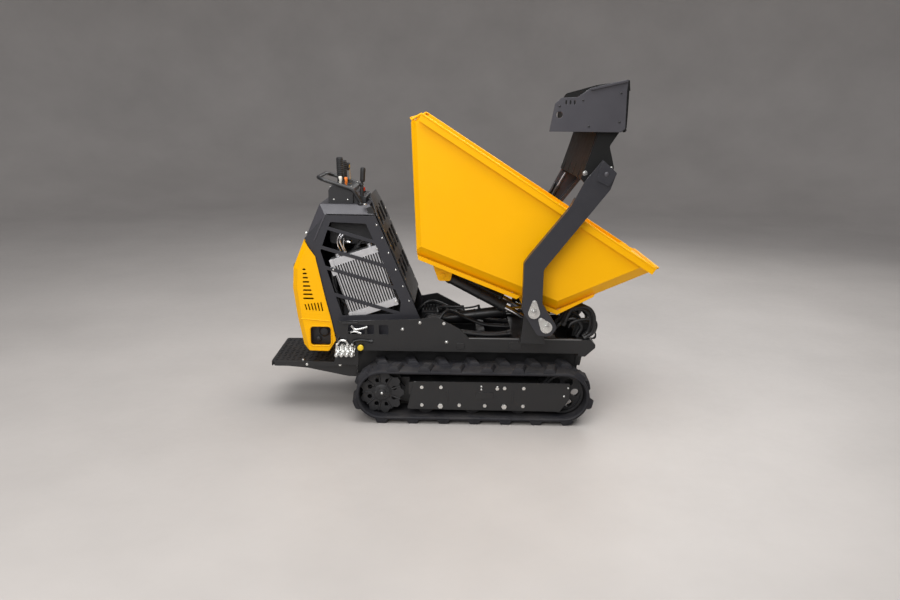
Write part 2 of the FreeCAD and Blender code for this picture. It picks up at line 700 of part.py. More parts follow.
def rear_cover():
    """Moulded cover over the back of the engine bay, open towards the tower."""
    hollow_points = ((-794, 830), (-700, 830), (-600, 500), (-600, 372), (-664, 362), (-694, 309),
                     (-782, 311), (-806, 335), (-834, 466), (-853, 607), (-848, 705))
    outer = rounded_back(COVER_OUTLINE, "cover_out", 24)
    hollow = rounded_back(hollow_points, "cover_out - cover_wall", 22)
    slots = []
    for k in range(8):
        width = 14 + 5 * k
        slots.append(rectangle((-806, 698 - 20 * k), (-806 + width, 706 - 20 * k), 3))
    for k in range(6):
        foot = -794 + 15 * k
        slots.append(outline((foot, 506 - k), (foot + 6, 506 - k), (foot - 2, 534 + 2 * k),
                             (foot - 8, 534 + 2 * k)))
    window = rectangle((-776, 334), (-680, 424), 14)
    openings = across([window] + slots, "cover_out + 1")
    node(cut(outer, hollow, openings), "rear_cover")


def rounded_back(points, half_width, bevel):
    """A block with the cover's outline, bevelled along its rear edges at both sides."""
    body = doc.addObject("PartDesign::Body", "cover")
    feature = pad(body, "XZ_Plane", [outline(*points)], "-(%s)" % half_width, half_width)
    doc.recompute()
    reach = feature.Shape.BoundBox.YMax
    edges = []
    for i, edge in enumerate(feature.Shape.Edges, 1):
        middle = edge.CenterOfMass
        if abs(abs(middle.y) - reach) < 0.1 and middle.x < -815 and middle.z > 340:
            edges.append("Edge%d" % i)
    chamfer = body.newObject("PartDesign::Chamfer", "bevel")
    chamfer.Base = (feature, edges)
    chamfer.Size = bevel
    body.Tip = chamfer
    return body


def tower():
    tower_panel(RIGHT)
    tower_panel(LEFT)
    tower_front()
    tower_top()
    oil_cooler()
    engine_bay()
    cooling_fan()
    rear_cover()


# ---------------------------------------------------------------- controls

LEVERS = {
    # name: foot x, y, lean back at the top, height of the top, radius of the grip, length of the grip
    "right_drive_lever": (-640, -68, -4, 1213, 15.0, 82),
    "left_drive_lever": (-640, 68, -4, 1190, 15.0, 82),
    "arm_lever": (-640, -112, 4, 1126, 8.0, 22),
    "shovel_lever": (-614, -112, 4, 1122, 8.0, 22),
    "skip_lever": (-535, -110, 4, 1168, 10.0, 60),
    "throttle_lever": (-603, 0, -9, 1182, 8.0, 22),
}
CONSOLE_TOP = 1082.0


def lever(name):
    x, y, lean, top, grip_radius, grip_length = LEVERS[name]
    foot = Vector(x, y, CONSOLE_TOP + 2)
    tip = Vector(x + lean, y, top)
    along = (tip - foot).normalize()
    stem = rod(foot, tip - along * 4, "lever_radius")
    grip = rod(tip - along * grip_length, tip, grip_radius)
    node(fused(stem, grip), name)


def console():
    body = across([outline((-690, 1004), (-575, 1004), (-575, 1070, 10), (-590, CONSOLE_TOP, 6),
                           (-680, CONSOLE_TOP, 16), (-690, 1064, 8))], "console_half_width")
    shelf = across([outline((-576, 1004), (-516, 1004), (-516, 1034, 8), (-576, 1050))],
                   "console_half_width - 14")
    skip_foot = rod((-535, -110, 1032), (-535, -110, 1080), 9.0)
    node(fused(body, shelf, skip_foot), "console")


def handlebar():
    """Grab bar: a hoop behind the console, its ends turned down into the tower's top."""
    half = dim("bar_half_width")
    rear, front = Vector(-739, 0, 1123), Vector(-572, 0, 1072)
    bend = 45.0
    path = []
    foot = Vector(-536, 0, 1008.5)

    def at(point, y):
        return Vector(point.x, y, point.z)

    back = (rear - front).normalize()
    inner = rear - back * bend
    down = (foot - front).normalize()
    for y in (-half, half):
        leg = [Part.LineSegment(at(foot, y), at(front + down * 24, y)).toShape(),
               Part.Arc(at(front + down * 24, y), at(front + (back + down) * 6, y),
                        at(front + back * 24, y)).toShape(),
               Part.LineSegment(at(front + back * 24, y), at(inner, y)).toShape()]
        path.append(leg)
    corner = math.cos(math.radians(45)) * bend
    turns = []
    for sign, y in ((-1, -half), (1, half)):
        middle = at(inner + back * corner, y - sign * (bend - corner))
        turns.append(Part.Arc(at(inner, y), middle, at(rear, y - sign * bend)).toShape())
    bar = Part.LineSegment(at(rear, -half + bend), at(rear, half - bend)).toShape()
    spine = Part.Wire(path[0] + [turns[0], bar, turns[1]] + path[1][::-1])
    ring = Part.Wire(Part.Circle(at(foot, -half), down, dim("bar_radius")).toShape())
    hoop = doc.addObject("Part::Feature", "hoop")
    hoop.Shape = Part.Solid(spine.makePipeShell([ring], True, True))
    node(hoop, "handlebar")


def controls():
    console()
    handlebar()
    for name in LEVERS:
        lever(name)
    button = rod((-546, 20, 1050), (-546, 20, 1066), 13.0)
    node(button, "stop_button")
    key = fused(rod((-665, 20, 1082.5), (-665, 20, 1090), 7.0), box((-667, 9, 1090), (-663, 31, 1110)))
    node(key, "ignition_key")
    cap = fused(rod((-600, 0, 930.5), (-600, 0, 944), 30.0), box((-622, -4, 944), (-578, 4, 952)))
    node(cap, "fuel_cap")


# ---------------------------------------------------------------- skip

SKIP_OUTLINE = (SKIP_REAR_BOTTOM, SKIP_REAR_TOP, SKIP_RIM_REAR, SKIP_RIM_FRONT, SKIP_LIP, SKIP_FRONT_BOTTOM)


def skip_block(points, half_width, fold, corner_size):
    """A solid with the skip's outline, chamfered at both sides along its bottom, front and rear."""
    body = doc.addObject("PartDesign::Body", "block")
    feature = pad(body, "XZ_Plane", [outline(*points)], "-(%s)" % half_width, half_width)
    doc.recompute()
    low_rear, high_rear, low_front, lip = points[0], points[1], points[-1], points[-2]
    upright = [i for i, edge in enumerate(feature.Shape.Edges, 1)
               if abs(edge.BoundBox.YLength) < 0.01 and edge.BoundBox.ZLength > 300
               and abs(edge.CenterOfMass.x - (low_rear[0] + high_rear[0]) / 2) < 10]
    corner = body.newObject("PartDesign::Chamfer", "corner")
    corner.Base = (feature, ["Edge%d" % i for i in upright])
    corner.setExpression("Size", bound(corner_size))
    body.Tip = corner
    doc.recompute()
    feature = corner
    edges = []
    for i, edge in enumerate(feature.Shape.Edges, 1):
        middle = edge.CenterOfMass
        on_side = abs(edge.BoundBox.YLength) < 0.01
        for start, end in ((low_rear, low_front), (low_front, lip)):
            target = Vector((start[0] + end[0]) / 2, middle.y, (start[1] + end[1]) / 2)
            if on_side and middle.distanceToPoint(target) < 40:
                edges.append("Edge%d" % i)
    chamfer = body.newObject("PartDesign::Chamfer", "fold")
    chamfer.Base = (feature, edges)
    chamfer.setExpression("Size", bound(fold))
    body.Tip = chamfer
    return body


def skip_tub():
    """Sheet-metal tub, open along its sloping rim, with the rim folded out and down on both sides."""
    outer_points = [SKIP_REAR_BOTTOM, SKIP_REAR_TOP + (40,), SKIP_RIM_REAR, SKIP_RIM_FRONT, SKIP_LIP,
                    SKIP_FRONT_BOTTOM]
    inner = inset(SKIP_OUTLINE, dim("skip_wall"))
    across_rim = Vector(SKIP_RIM_FRONT[1] - SKIP_RIM_REAR[1], 0, SKIP_RIM_REAR[0] - SKIP_RIM_FRONT[0])
    lift = across_rim.normalize() * -40
    open_rear = (SKIP_RIM_REAR[0] + lift.x, SKIP_RIM_REAR[1] + lift.z)
    open_front = (SKIP_LIP[0] - 14 + lift.x, SKIP_LIP[1] + 10 + lift.z)
    inner_points = [inner[0], inner[1], open_rear, open_front,
                    (SKIP_LIP[0] - 16, SKIP_LIP[1] + 1), inner[5]]
    outer = skip_block(outer_points, "skip_half_width", "skip_fold", "skip_corner")
    hollow = skip_block(inner_points, "skip_half_width - skip_wall", "skip_fold - 2", "skip_corner - 2")
    shell = cut(outer, hollow)
    parts = [shell]
    depth, wall = dim("rim_depth"), dim("skip_wall")
    rear = beyond(SKIP_RIM_REAR, SKIP_RIM_FRONT, 2)
    front = beyond(SKIP_RIM_FRONT, SKIP_RIM_REAR, 2)
    down = across_rim.normalize()

    def lowered(point, by):
        return (point[0] + down.x * by, point[1] + down.z * by)

    for side in (RIGHT, LEFT):
        parts.append(side_plate(side, [outline(rear, front, lowered(front, wall), lowered(rear, wall))],
                                "skip_half_width - 1", "rim_out"))
        parts.append(side_plate(side, [outline(rear, front, lowered(front, depth), lowered(rear, depth))],
                                "rim_out - skip_wall", "rim_out"))
    node(fused(*parts), "skip_tub")


def skip_floor(x):
    """Height of the skip's underside at x."""
    slope = (SKIP_FRONT_BOTTOM[1] - SKIP_REAR_BOTTOM[1]) / (SKIP_FRONT_BOTTOM[0] - SKIP_REAR_BOTTOM[0])
    return SKIP_REAR_BOTTOM[1] + slope * (x - SKIP_REAR_BOTTOM[0])


def skip_underframe():
    """Hinge lugs round the main pivot and the brackets that carry the dump cylinders."""
    parts = []
    x, z = MAIN_PIVOT
    bore = dim("pivot_radius") + dim("running_gap")
    pin_x, pin_z = DUMP_TOP
    for side in (RIGHT, LEFT):
        lug = side_plate(side, [outline((x - 73, skip_floor(x - 73)), (x + 74, skip_floor(x + 74)),
                                        (x + 32, z - 28, 18), (x - 28, z - 28, 18)),
                                circle(MAIN_PIVOT, bore)], "hinge_lug_in", "hinge_lug_in + hinge_lug")
        bracket = [side_plate(side, [outline((pin_x - 65, skip_floor(pin_x - 65)),
                                             (pin_x + 55, skip_floor(pin_x + 55)),
                                             (pin_x + 38, pin_z - 26, 12), (pin_x - 20, pin_z - 26, 16))],
                              face, face + " + bracket_plate")
                   for face in ("dump_offset - bracket_gap - bracket_plate", "dump_offset + bracket_gap")]
        front, back = x - 90, pin_x + 50
        spine = side_plate(side, [outline((back, skip_floor(back)), (front, skip_floor(front)),
                                          (front, skip_floor(front) - 22), (back, skip_floor(back) - 22))],
                           "dump_offset + 58", "dump_offset + 66")
        reach = "bracket_gap + bracket_plate + 4"
        pin = side_plate(side, [circle(DUMP_TOP, dim("dump_pin_radius"))], "dump_offset - (%s)" % reach,
                         "dump_offset + " + reach)
        parts += [lug, fused(*bracket, pin), spine]
    node(group(*parts), "skip_underframe")


# ---------------------------------------------------------------- loader arms

ARM_OUTLINE = ((215, 560, 20), (287, 446, 20), (345, 440, 34), (378, 484, 30), (304, 592, 30),
               (304, 750, 30), (580, 1112, 10), (603, 1183), (540, 1239), (466, 1145, 60),
               (409, 1031, 80), (238, 812, 60), (215, 778, 30))
ARM_HOLLOW = ((300, 775, 20), (562, 1118, 10), (640, 1190), (560, 1290), (458, 1150), (416, 1034, 60),
              (246, 812, 40), (228, 780), (300, 740, 10))


def loader_arm(side):
    """Pressed channel open towards the machine, with a boss at the shovel's pivot."""
    body = doc.addObject("PartDesign::Body", "arm")
    pins = [circle(p, dim("arm_pin_radius") + dim("running_gap")) for p in (MAIN_PIVOT, ARM_SECOND_PIN)]
    shovel_hole = circle(SHOVEL_PIVOT, dim("shovel_pin_radius") + dim("running_gap"))
    pad(body, "XZ_Plane", [outline(*ARM_OUTLINE), *pins, shovel_hole], *span(side, "arm_in", "arm_out"))
    hollow = side_plate(side, [outline(*ARM_HOLLOW)], "arm_in - 5", "arm_out - arm_plate")
    boss = side_plate(side, [outline((540, 1239, 8), (603, 1183, 8), (572, 1125, 8), (516, 1151, 8)),
                             shovel_hole], "arm_out", "arm_out + 8")
    seat = side_plate(side, [circle(TILT_BASE, 15)], "arm_out - arm_plate - 1.5", "arm_out - arm_plate")
    node(fused(cut(body, hollow), boss, seat), SIDE_NAMES[side] + "_loader_arm")


CRANK_OUTLINE = ((225, 560, 24), (290, 452, 20), (345, 450, 34), (368, 490, 28), (310, 588, 30),
                 (236, 588, 24))


def arm_shaft():
    """Torsion shaft through the main pivot: a crank plate at each end, the lift crank in the middle."""
    parts = [cross_rod(MAIN_PIVOT, -dim("crank_out"), dim("crank_out"), "pivot_radius")]
    faces = ("lift_crank_in", "lift_crank_in + lift_crank_plate")
    for side in (RIGHT, LEFT):
        parts.append(side_plate(side, [outline(*CRANK_OUTLINE)], "crank_in", "crank_out"))
        parts.append(side_plate(side, [strip(MAIN_PIVOT, LIFT_CRANK, 40)], *faces))
        for centre in (MAIN_PIVOT, LIFT_CRANK):
            parts.append(side_plate(side, [circle(centre, 22)], *faces))
    parts.append(across([circle(LIFT_CRANK, dim("lift_pin_radius"))], faces[1] + " + 4"))
    node(fused(*parts), "arm_shaft")


def teardrop(centre, radius, tip, tip_radius):
    """Outline of a big circle and a small one joined by their common tangents."""
    toward = math.degrees(math.atan2(tip[1] - centre[1], tip[0] - centre[0]))
    distance = math.hypot(tip[0] - centre[0], tip[1] - centre[1])
    swing = math.degrees(math.acos((radius - tip_radius) / distance))

    def arc(middle, size, angles):
        return Part.Arc(*[Vector(*polar(middle, size, angle), 0) for angle in angles])

    big = arc(centre, radius, (toward + swing, toward + 180, toward - swing))
    small = arc(tip, tip_radius, (toward - swing, toward, toward + swing))
    return [big, Part.LineSegment(big.EndPoint, small.StartPoint), small,
            Part.LineSegment(small.EndPoint, big.StartPoint)]


def arm_pins():
    """Pins that hold each arm to its crank plate, each with its teardrop keeper."""
    solids = []
    for side in (RIGHT, LEFT):
        for centre, bolt in ((MAIN_PIVOT, (268, 600)), (ARM_SECOND_PIN, (300, 519))):
            pin = side_plate(side, [circle(centre, dim("arm_pin_radius"))], "crank_out", "arm_out + 9")
            keeper = [side_plate(side, [teardrop(centre, 27, bolt, 11)], "arm_out",
                                 "arm_out + flag_thickness"),
                      bolt_heads((bolt,), dim("arm_out") + dim("flag_thickness"), side, 8, 5)[0]]
            solids.append(fused(pin, *keeper))
    node(group(*solids), "arm_pins")


EAR_OUTLINE = ((455, 1152), (478, 1128, 10), (520, 1120, 20), (594, 1146, 26), (597, 1208, 30),
               (573, 1296, 20), (612, 1357), (520, 1357), (516, 1340))
BUCKET_SIDE = ((428, 1357), (434, 1470, 20), (470, 1528, 20), (632, 1574), (630, 1371), (612, 1357))


def shovel():
    """Bucket, the dark plate between its ears, and the pins it turns on."""
    parts = []
    wall = dim("shovel_plate")
    inner = inset(BUCKET_SIDE, wall)
    for side in (RIGHT, LEFT):
        parts.append(side_plate(side, [outline(*BUCKET_SIDE)], "shovel_half_width - shovel_plate",
                                "shovel_half_width"))
        parts.append(side_plate(side, [outline(*EAR_OUTLINE)], "crank_in", "crank_out"))
        parts.append(side_plate(side, [circle(SHOVEL_PIVOT, dim("shovel_pin_radius"))], "crank_out",
                                "arm_out + 7"))
        parts.append(side_plate(side, [circle(TILT_PIN, dim("tilt_pin_radius"))], "crank_out", "376"))
    floor = across([outline((632, 1574), (630, 1371), (612, 1357), (606, 1360), (624, 1374), (624, 1572))],
                   "shovel_half_width")
    back = across([outline((428, 1357), (428, 1363), (614, 1363), (614, 1357))], "shovel_half_width")
    trough = across([strip((458, 1150), (520, 1358), wall)], "crank_in + 1")
    edge = across([outline((631, 1574), (631, 1530), (641, 1530), (636, 1574))], "shovel_half_width")
    node(fused(*parts, floor, back, trough, edge), "shovel")


def shovel_guard():
    """Side guard over the hoses on the right of the shovel."""
    slits = [rectangle((x, 1470), (x + 7, 1487), 2) for x in (366, 384, 402)]
    solid = side_plate(RIGHT, [outline((302, 1356), (322, 1473), (350, 1498, 10), (418, 1501, 10),
                                       (450, 1525), (470, 1537), (612, 1572), (629, 1574), (625, 1528),
                                       (627, 1371), (607, 1357)),
                               circle((342, 1427), 14), *slits], "guard_out - 6", "guard_out")
    rib = side_plate(RIGHT, [strip((470, 1534), (626, 1571), 10)], "guard_out", "guard_out + 8")
    spacer = side_plate(RIGHT, [circle((560, 1440), 18)], "shovel_half_width", "guard_out - 6")
    node(fused(solid, rib, spacer), "shovel_guard")


# ---------------------------------------------------------------- hydraulic cylinders

def cylinder_pair(start, end, offsets, barrel_length, rod_start, eye, names, sizes):
    """Barrels hinged at start and rods that reach end; sizes are barrel, rod and pin radius, in words."""
    barrel_radius, rod_radius, pin_radius, start_bored, end_bored = sizes
    length = math.hypot(end[0] - start[0], end[1] - start[1])
    gap = dim("running_gap")
    barrels, rods = [], []
    for y in offsets:
        def point(distance):
            at = beyond(start, end, distance)
            return (at[0], y, at[1])
        barrel = fused(rod(point(eye * 0.5), point(barrel_length), barrel_radius),
                       cross_rod(start, y - eye * 0.9, y + eye * 0.9, eye),
                       rod(point(barrel_length - 26), point(barrel_length), barrel_radius + " + 2"))
        cuts = [rod(point(eye + 30), point(barrel_length + 5), rod_radius + " + running_gap")]
        if start_bored:
            cuts.append(cross_rod(start, y - 60, y + 60, pin_radius + " + running_gap"))
        barrels.append(cut(barrel, *cuts))
        stem = fused(rod(point(rod_start), point(length - eye * 0.5), rod_radius),
                     cross_rod(end, y - eye * 0.45, y + eye * 0.45, eye))
        if end_bored:
            rods.append(cut(stem, cross_rod(end, y - 60, y + 60, pin_radius + " + running_gap")))
        else:
            rods.append(stem)
    node(group(*barrels) if len(barrels) > 1 else barrels[0], names[0])
    node(group(*rods) if len(rods) > 1 else rods[0], names[1])


def cylinders():
    offset = dim("dump_offset")
    cylinder_pair(DUMP_TOP, DUMP_BASE, (-offset, offset), 343, 120, 20,
                  ("dump_cylinder_barrels", "dump_cylinder_rods"),
                  ("dump_barrel_radius", "dump_rod_radius", "dump_pin_radius", True, False))
    cylinder_pair(LIFT_BASE, LIFT_CRANK, (0.0,), 385, 300, 22,
                  ("lift_cylinder_barrel", "lift_cylinder_rod"),
                  ("lift_barrel_radius", "lift_rod_radius", "lift_pin_radius", False, True))
    tilt = dim("tilt_offset")
    cylinder_pair(TILT_BASE, TILT_PIN, (-tilt, tilt), 235, 140, 13,
                  ("tilt_cylinder_barrels", "tilt_cylinder_rods"),
                  ("tilt_barrel_radius", "tilt_rod_radius", "tilt_pin_radius", False, True))


def front_hoses():
    hoses = []
    for y, reach, top in ((-205, 590, 474), (-185, 575, 458), (190, 585, 468)):
        hoses.append(hose(((532, y, 398), (reach - 10, y, 422), (reach - 6, y + 4, top - 14),
                           (515, y + 8, top), (460, y + 8, top - 30)), 8.0))
    node(group(*hoses), "front_hoses")


# ---------------------------------------------------------------- whole machine

undercarriage()
chassis_frame()
rear_step()
frame_bolts()
hose_fittings()
tower()
controls()
skip_tub()
skip_underframe()
for each_side in (RIGHT, LEFT):
    loader_arm(each_side)
arm_shaft()
arm_pins()
shovel()
shovel_guard()
cylinders()
front_hoses()
doc.recompute()

problems = [thing.Name + " " + thing.Label for thing in doc.Objects
            if "Invalid" in thing.State or "Error" in thing.State]
for thing in nodes:
    if thing.Shape.isNull() or not thing.Shape.isValid() or not thing.Shape.Solids:
        problems.append("bad shape: " + thing.Label)
if problems:
    raise SystemExit("\n".join(problems))

os.makedirs("parts", exist_ok=True)
for thing in nodes:
    thing.Shape.exportStep("parts/%s.step" % thing.Label)
print(len(nodes), "parts written")
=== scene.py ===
"""Looks of the tracked mini dumper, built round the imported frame: +X forward, +Y left, +Z up.

The frame is in metres. Pieces are drawn in millimetres from the ground under the middle of the tracks,
and Piece.done moves them into the frame.
"""
import json
import math

import bmesh
import bpy
from mathutils import Matrix, Vector


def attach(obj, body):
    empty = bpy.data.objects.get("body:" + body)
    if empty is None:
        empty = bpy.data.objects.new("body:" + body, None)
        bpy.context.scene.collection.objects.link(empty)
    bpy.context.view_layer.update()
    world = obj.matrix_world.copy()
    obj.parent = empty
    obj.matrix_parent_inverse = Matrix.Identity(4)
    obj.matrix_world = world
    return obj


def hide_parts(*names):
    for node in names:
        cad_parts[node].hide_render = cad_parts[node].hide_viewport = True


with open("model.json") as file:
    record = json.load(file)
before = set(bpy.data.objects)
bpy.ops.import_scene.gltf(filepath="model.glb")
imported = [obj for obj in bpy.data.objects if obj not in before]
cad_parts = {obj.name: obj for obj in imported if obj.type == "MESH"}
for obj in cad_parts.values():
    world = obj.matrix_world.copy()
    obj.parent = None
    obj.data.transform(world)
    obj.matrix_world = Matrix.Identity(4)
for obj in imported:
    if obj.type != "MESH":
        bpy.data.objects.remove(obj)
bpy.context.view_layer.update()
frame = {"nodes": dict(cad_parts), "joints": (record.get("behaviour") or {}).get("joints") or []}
NODES = frame["nodes"]
JOINTS = {joint["name"]: joint for joint in frame["joints"]}
RIGHT, LEFT = -1, 1
SIDES = {"right": RIGHT, "left": LEFT}


def pivot(joint):
    return Vector(JOINTS[joint]["pos_m"])


# Driving points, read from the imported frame
TRACK_REAR = pivot("right_sprocket_spin")
TRACK_FRONT = pivot("right_idler_spin")
TRACK_CENTRE = (TRACK_REAR.x + TRACK_FRONT.x) / 2
MAIN_PIVOT = pivot("arm_lift")
SHOVEL_PIVOT = pivot("shovel_tilt")
DUMP_TOP = pivot("dump_barrel_swing")
LIFT_CRANK = pivot("lift_rod_swing")


def side_view(point):
    """A point's x and z in millimetres from the ground under the middle of the tracks."""
    return (point.x - TRACK_CENTRE) * 1000, point.z * 1000


MAIN_X, MAIN_Z = side_view(MAIN_PIVOT)
SHOVEL_X, SHOVEL_Z = side_view(SHOVEL_PIVOT)
DUMP_TOP_MM = side_view(DUMP_TOP)
LIFT_CRANK_MM = side_view(LIFT_CRANK)
LIFT_BASE_MM = (-215.0, 408.0)
DUMP_BASE_MM = (330.0, 416.0)
TOWER_FOOT = (-287.0, 545.0)
TOWER_HEAD = (-499.0, 1045.0)


# ---------------------------------------------------------------- materials

def link(tree, source, target):
    tree.links.new(source, target)


def math_node(tree, operation, first, second):
    node = tree.nodes.new("ShaderNodeMath")
    node.operation = operation
    for socket, value in zip(node.inputs, (first, second)):
        if isinstance(value, (int, float)):
            socket.default_value = value
        else:
            link(tree, value, socket)
    return node.outputs[0]


def mapped(tree, value, low, high, to_low=0.0, to_high=1.0):
    node = tree.nodes.new("ShaderNodeMapRange")
    for name, number in zip(("From Min", "From Max", "To Min", "To Max"), (low, high, to_low, to_high)):
        node.inputs[name].default_value = number
    link(tree, value, node.inputs["Value"])
    return node.outputs[0]


def mixed(tree, factor, first, second):
    node = tree.nodes.new("ShaderNodeMix")
    node.data_type = "RGBA"
    sockets = (node.inputs[0], node.inputs[6], node.inputs[7])
    for socket, value in zip(sockets, (factor, first, second)):
        if isinstance(value, (int, float)):
            socket.default_value = value
        elif isinstance(value, tuple):
            socket.default_value = (*value, 1.0)
        else:
            link(tree, value, socket)
    return node.outputs[2]


def place_noise(tree, scale, detail=4.0, roughness=0.6, stretch=(1.0, 1.0, 1.0)):
    place = tree.nodes.new("ShaderNodeTexCoord")
    mapping = tree.nodes.new("ShaderNodeMapping")
    mapping.inputs["Scale"].default_value = stretch
    link(tree, place.outputs["Object"], mapping.inputs["Vector"])
    node = tree.nodes.new("ShaderNodeTexNoise")
    node.inputs["Scale"].default_value = scale
    node.inputs["Detail"].default_value = detail
    node.inputs["Roughness"].default_value = roughness
    link(tree, mapping.outputs[0], node.inputs["Vector"])
    return node.outputs["Fac"]


def scaled(colour, factor):
    return tuple(min(1.0, channel * factor) for channel in colour)


DUST = (0.30, 0.27, 0.23)
BEVEL_SAMPLES = 4
WEAR_WIDTH = 0.003
GRAIN_DEPTH = 0.0004
ROUGHNESS_SPREAD = 0.07
COAT_ROUGHNESS = 0.12


def surface(name, colour, roughness=0.45, metallic=0.0, coat=0.0, shade=0.10, shade_scale=2.5, grain=0.15,
            grain_scale=900.0, stretch=(1.0, 1.0, 1.0), edge_colour=None, edge_wear=0.5, dust=0.0,
            corner=0.0012, specular=0.5):
    """A finish with uneven colour, fine grain, rounded corners, worn corners and dust on top faces."""
    made = bpy.data.materials.new(name)
    made.use_nodes = True
    tree = made.node_tree
    shader = tree.nodes["Principled BSDF"]
    geometry = tree.nodes.new("ShaderNodeNewGeometry")

    cloud = place_noise(tree, shade_scale)
    colour_now = mixed(tree, mapped(tree, cloud, 0.3, 0.7), scaled(colour, 1 - shade),
                       scaled(colour, 1 + shade))
    fine = place_noise(tree, grain_scale, 2.0, 0.5, stretch)
    blotch = place_noise(tree, 22.0, 5.0, 0.65)
    rough_now = mapped(tree, blotch, 0.25, 0.75, max(0.03, roughness - ROUGHNESS_SPREAD),
                       min(1.0, roughness + ROUGHNESS_SPREAD))

    if edge_colour:
        wide = tree.nodes.new("ShaderNodeBevel")
        wide.samples = BEVEL_SAMPLES
        wide.inputs["Radius"].default_value = WEAR_WIDTH
        turned = tree.nodes.new("ShaderNodeVectorMath")
        turned.operation = "DOT_PRODUCT"
        link(tree, wide.outputs[0], turned.inputs[0])
        link(tree, geometry.outputs["Normal"], turned.inputs[1])
        edge = mapped(tree, turned.outputs["Value"], 0.995, 0.90)
        rubbed = mapped(tree, place_noise(tree, 60.0, 6.0, 0.7), 0.52, 0.62)
        worn = math_node(tree, "MULTIPLY", math_node(tree, "MULTIPLY", edge, rubbed), edge_wear)
        colour_now = mixed(tree, worn, colour_now, edge_colour)

    if dust:
        upward = tree.nodes.new("ShaderNodeSeparateXYZ")
        link(tree, geometry.outputs["Normal"], upward.inputs[0])
        on_top = mapped(tree, upward.outputs["Z"], 0.2, 1.0, 0.25, 1.0)
        patchy = mapped(tree, place_noise(tree, 9.0, 7.0, 0.7), 0.40, 0.75)
        layer = math_node(tree, "MULTIPLY", math_node(tree, "MULTIPLY", on_top, patchy), dust)
        colour_now = mixed(tree, layer, colour_now, DUST)

    rounded = tree.nodes.new("ShaderNodeBevel")
    rounded.samples = BEVEL_SAMPLES
    rounded.inputs["Radius"].default_value = corner
    bump = tree.nodes.new("ShaderNodeBump")
    bump.inputs["Strength"].default_value = grain
    bump.inputs["Distance"].default_value = GRAIN_DEPTH
    link(tree, fine, bump.inputs["Height"])
    link(tree, rounded.outputs[0], bump.inputs["Normal"])

    link(tree, colour_now, shader.inputs["Base Color"])
    link(tree, rough_now, shader.inputs["Roughness"])
    link(tree, bump.outputs[0], shader.inputs["Normal"])
    shader.inputs["Metallic"].default_value = metallic
    shader.inputs["Coat Weight"].default_value = coat
    shader.inputs["Coat Roughness"].default_value = COAT_ROUGHNESS
    shader.inputs["Specular IOR Level"].default_value = specular
    return made


YELLOW = (1.0, 0.475, 0.0)
BARE = (0.45, 0.43, 0.40)

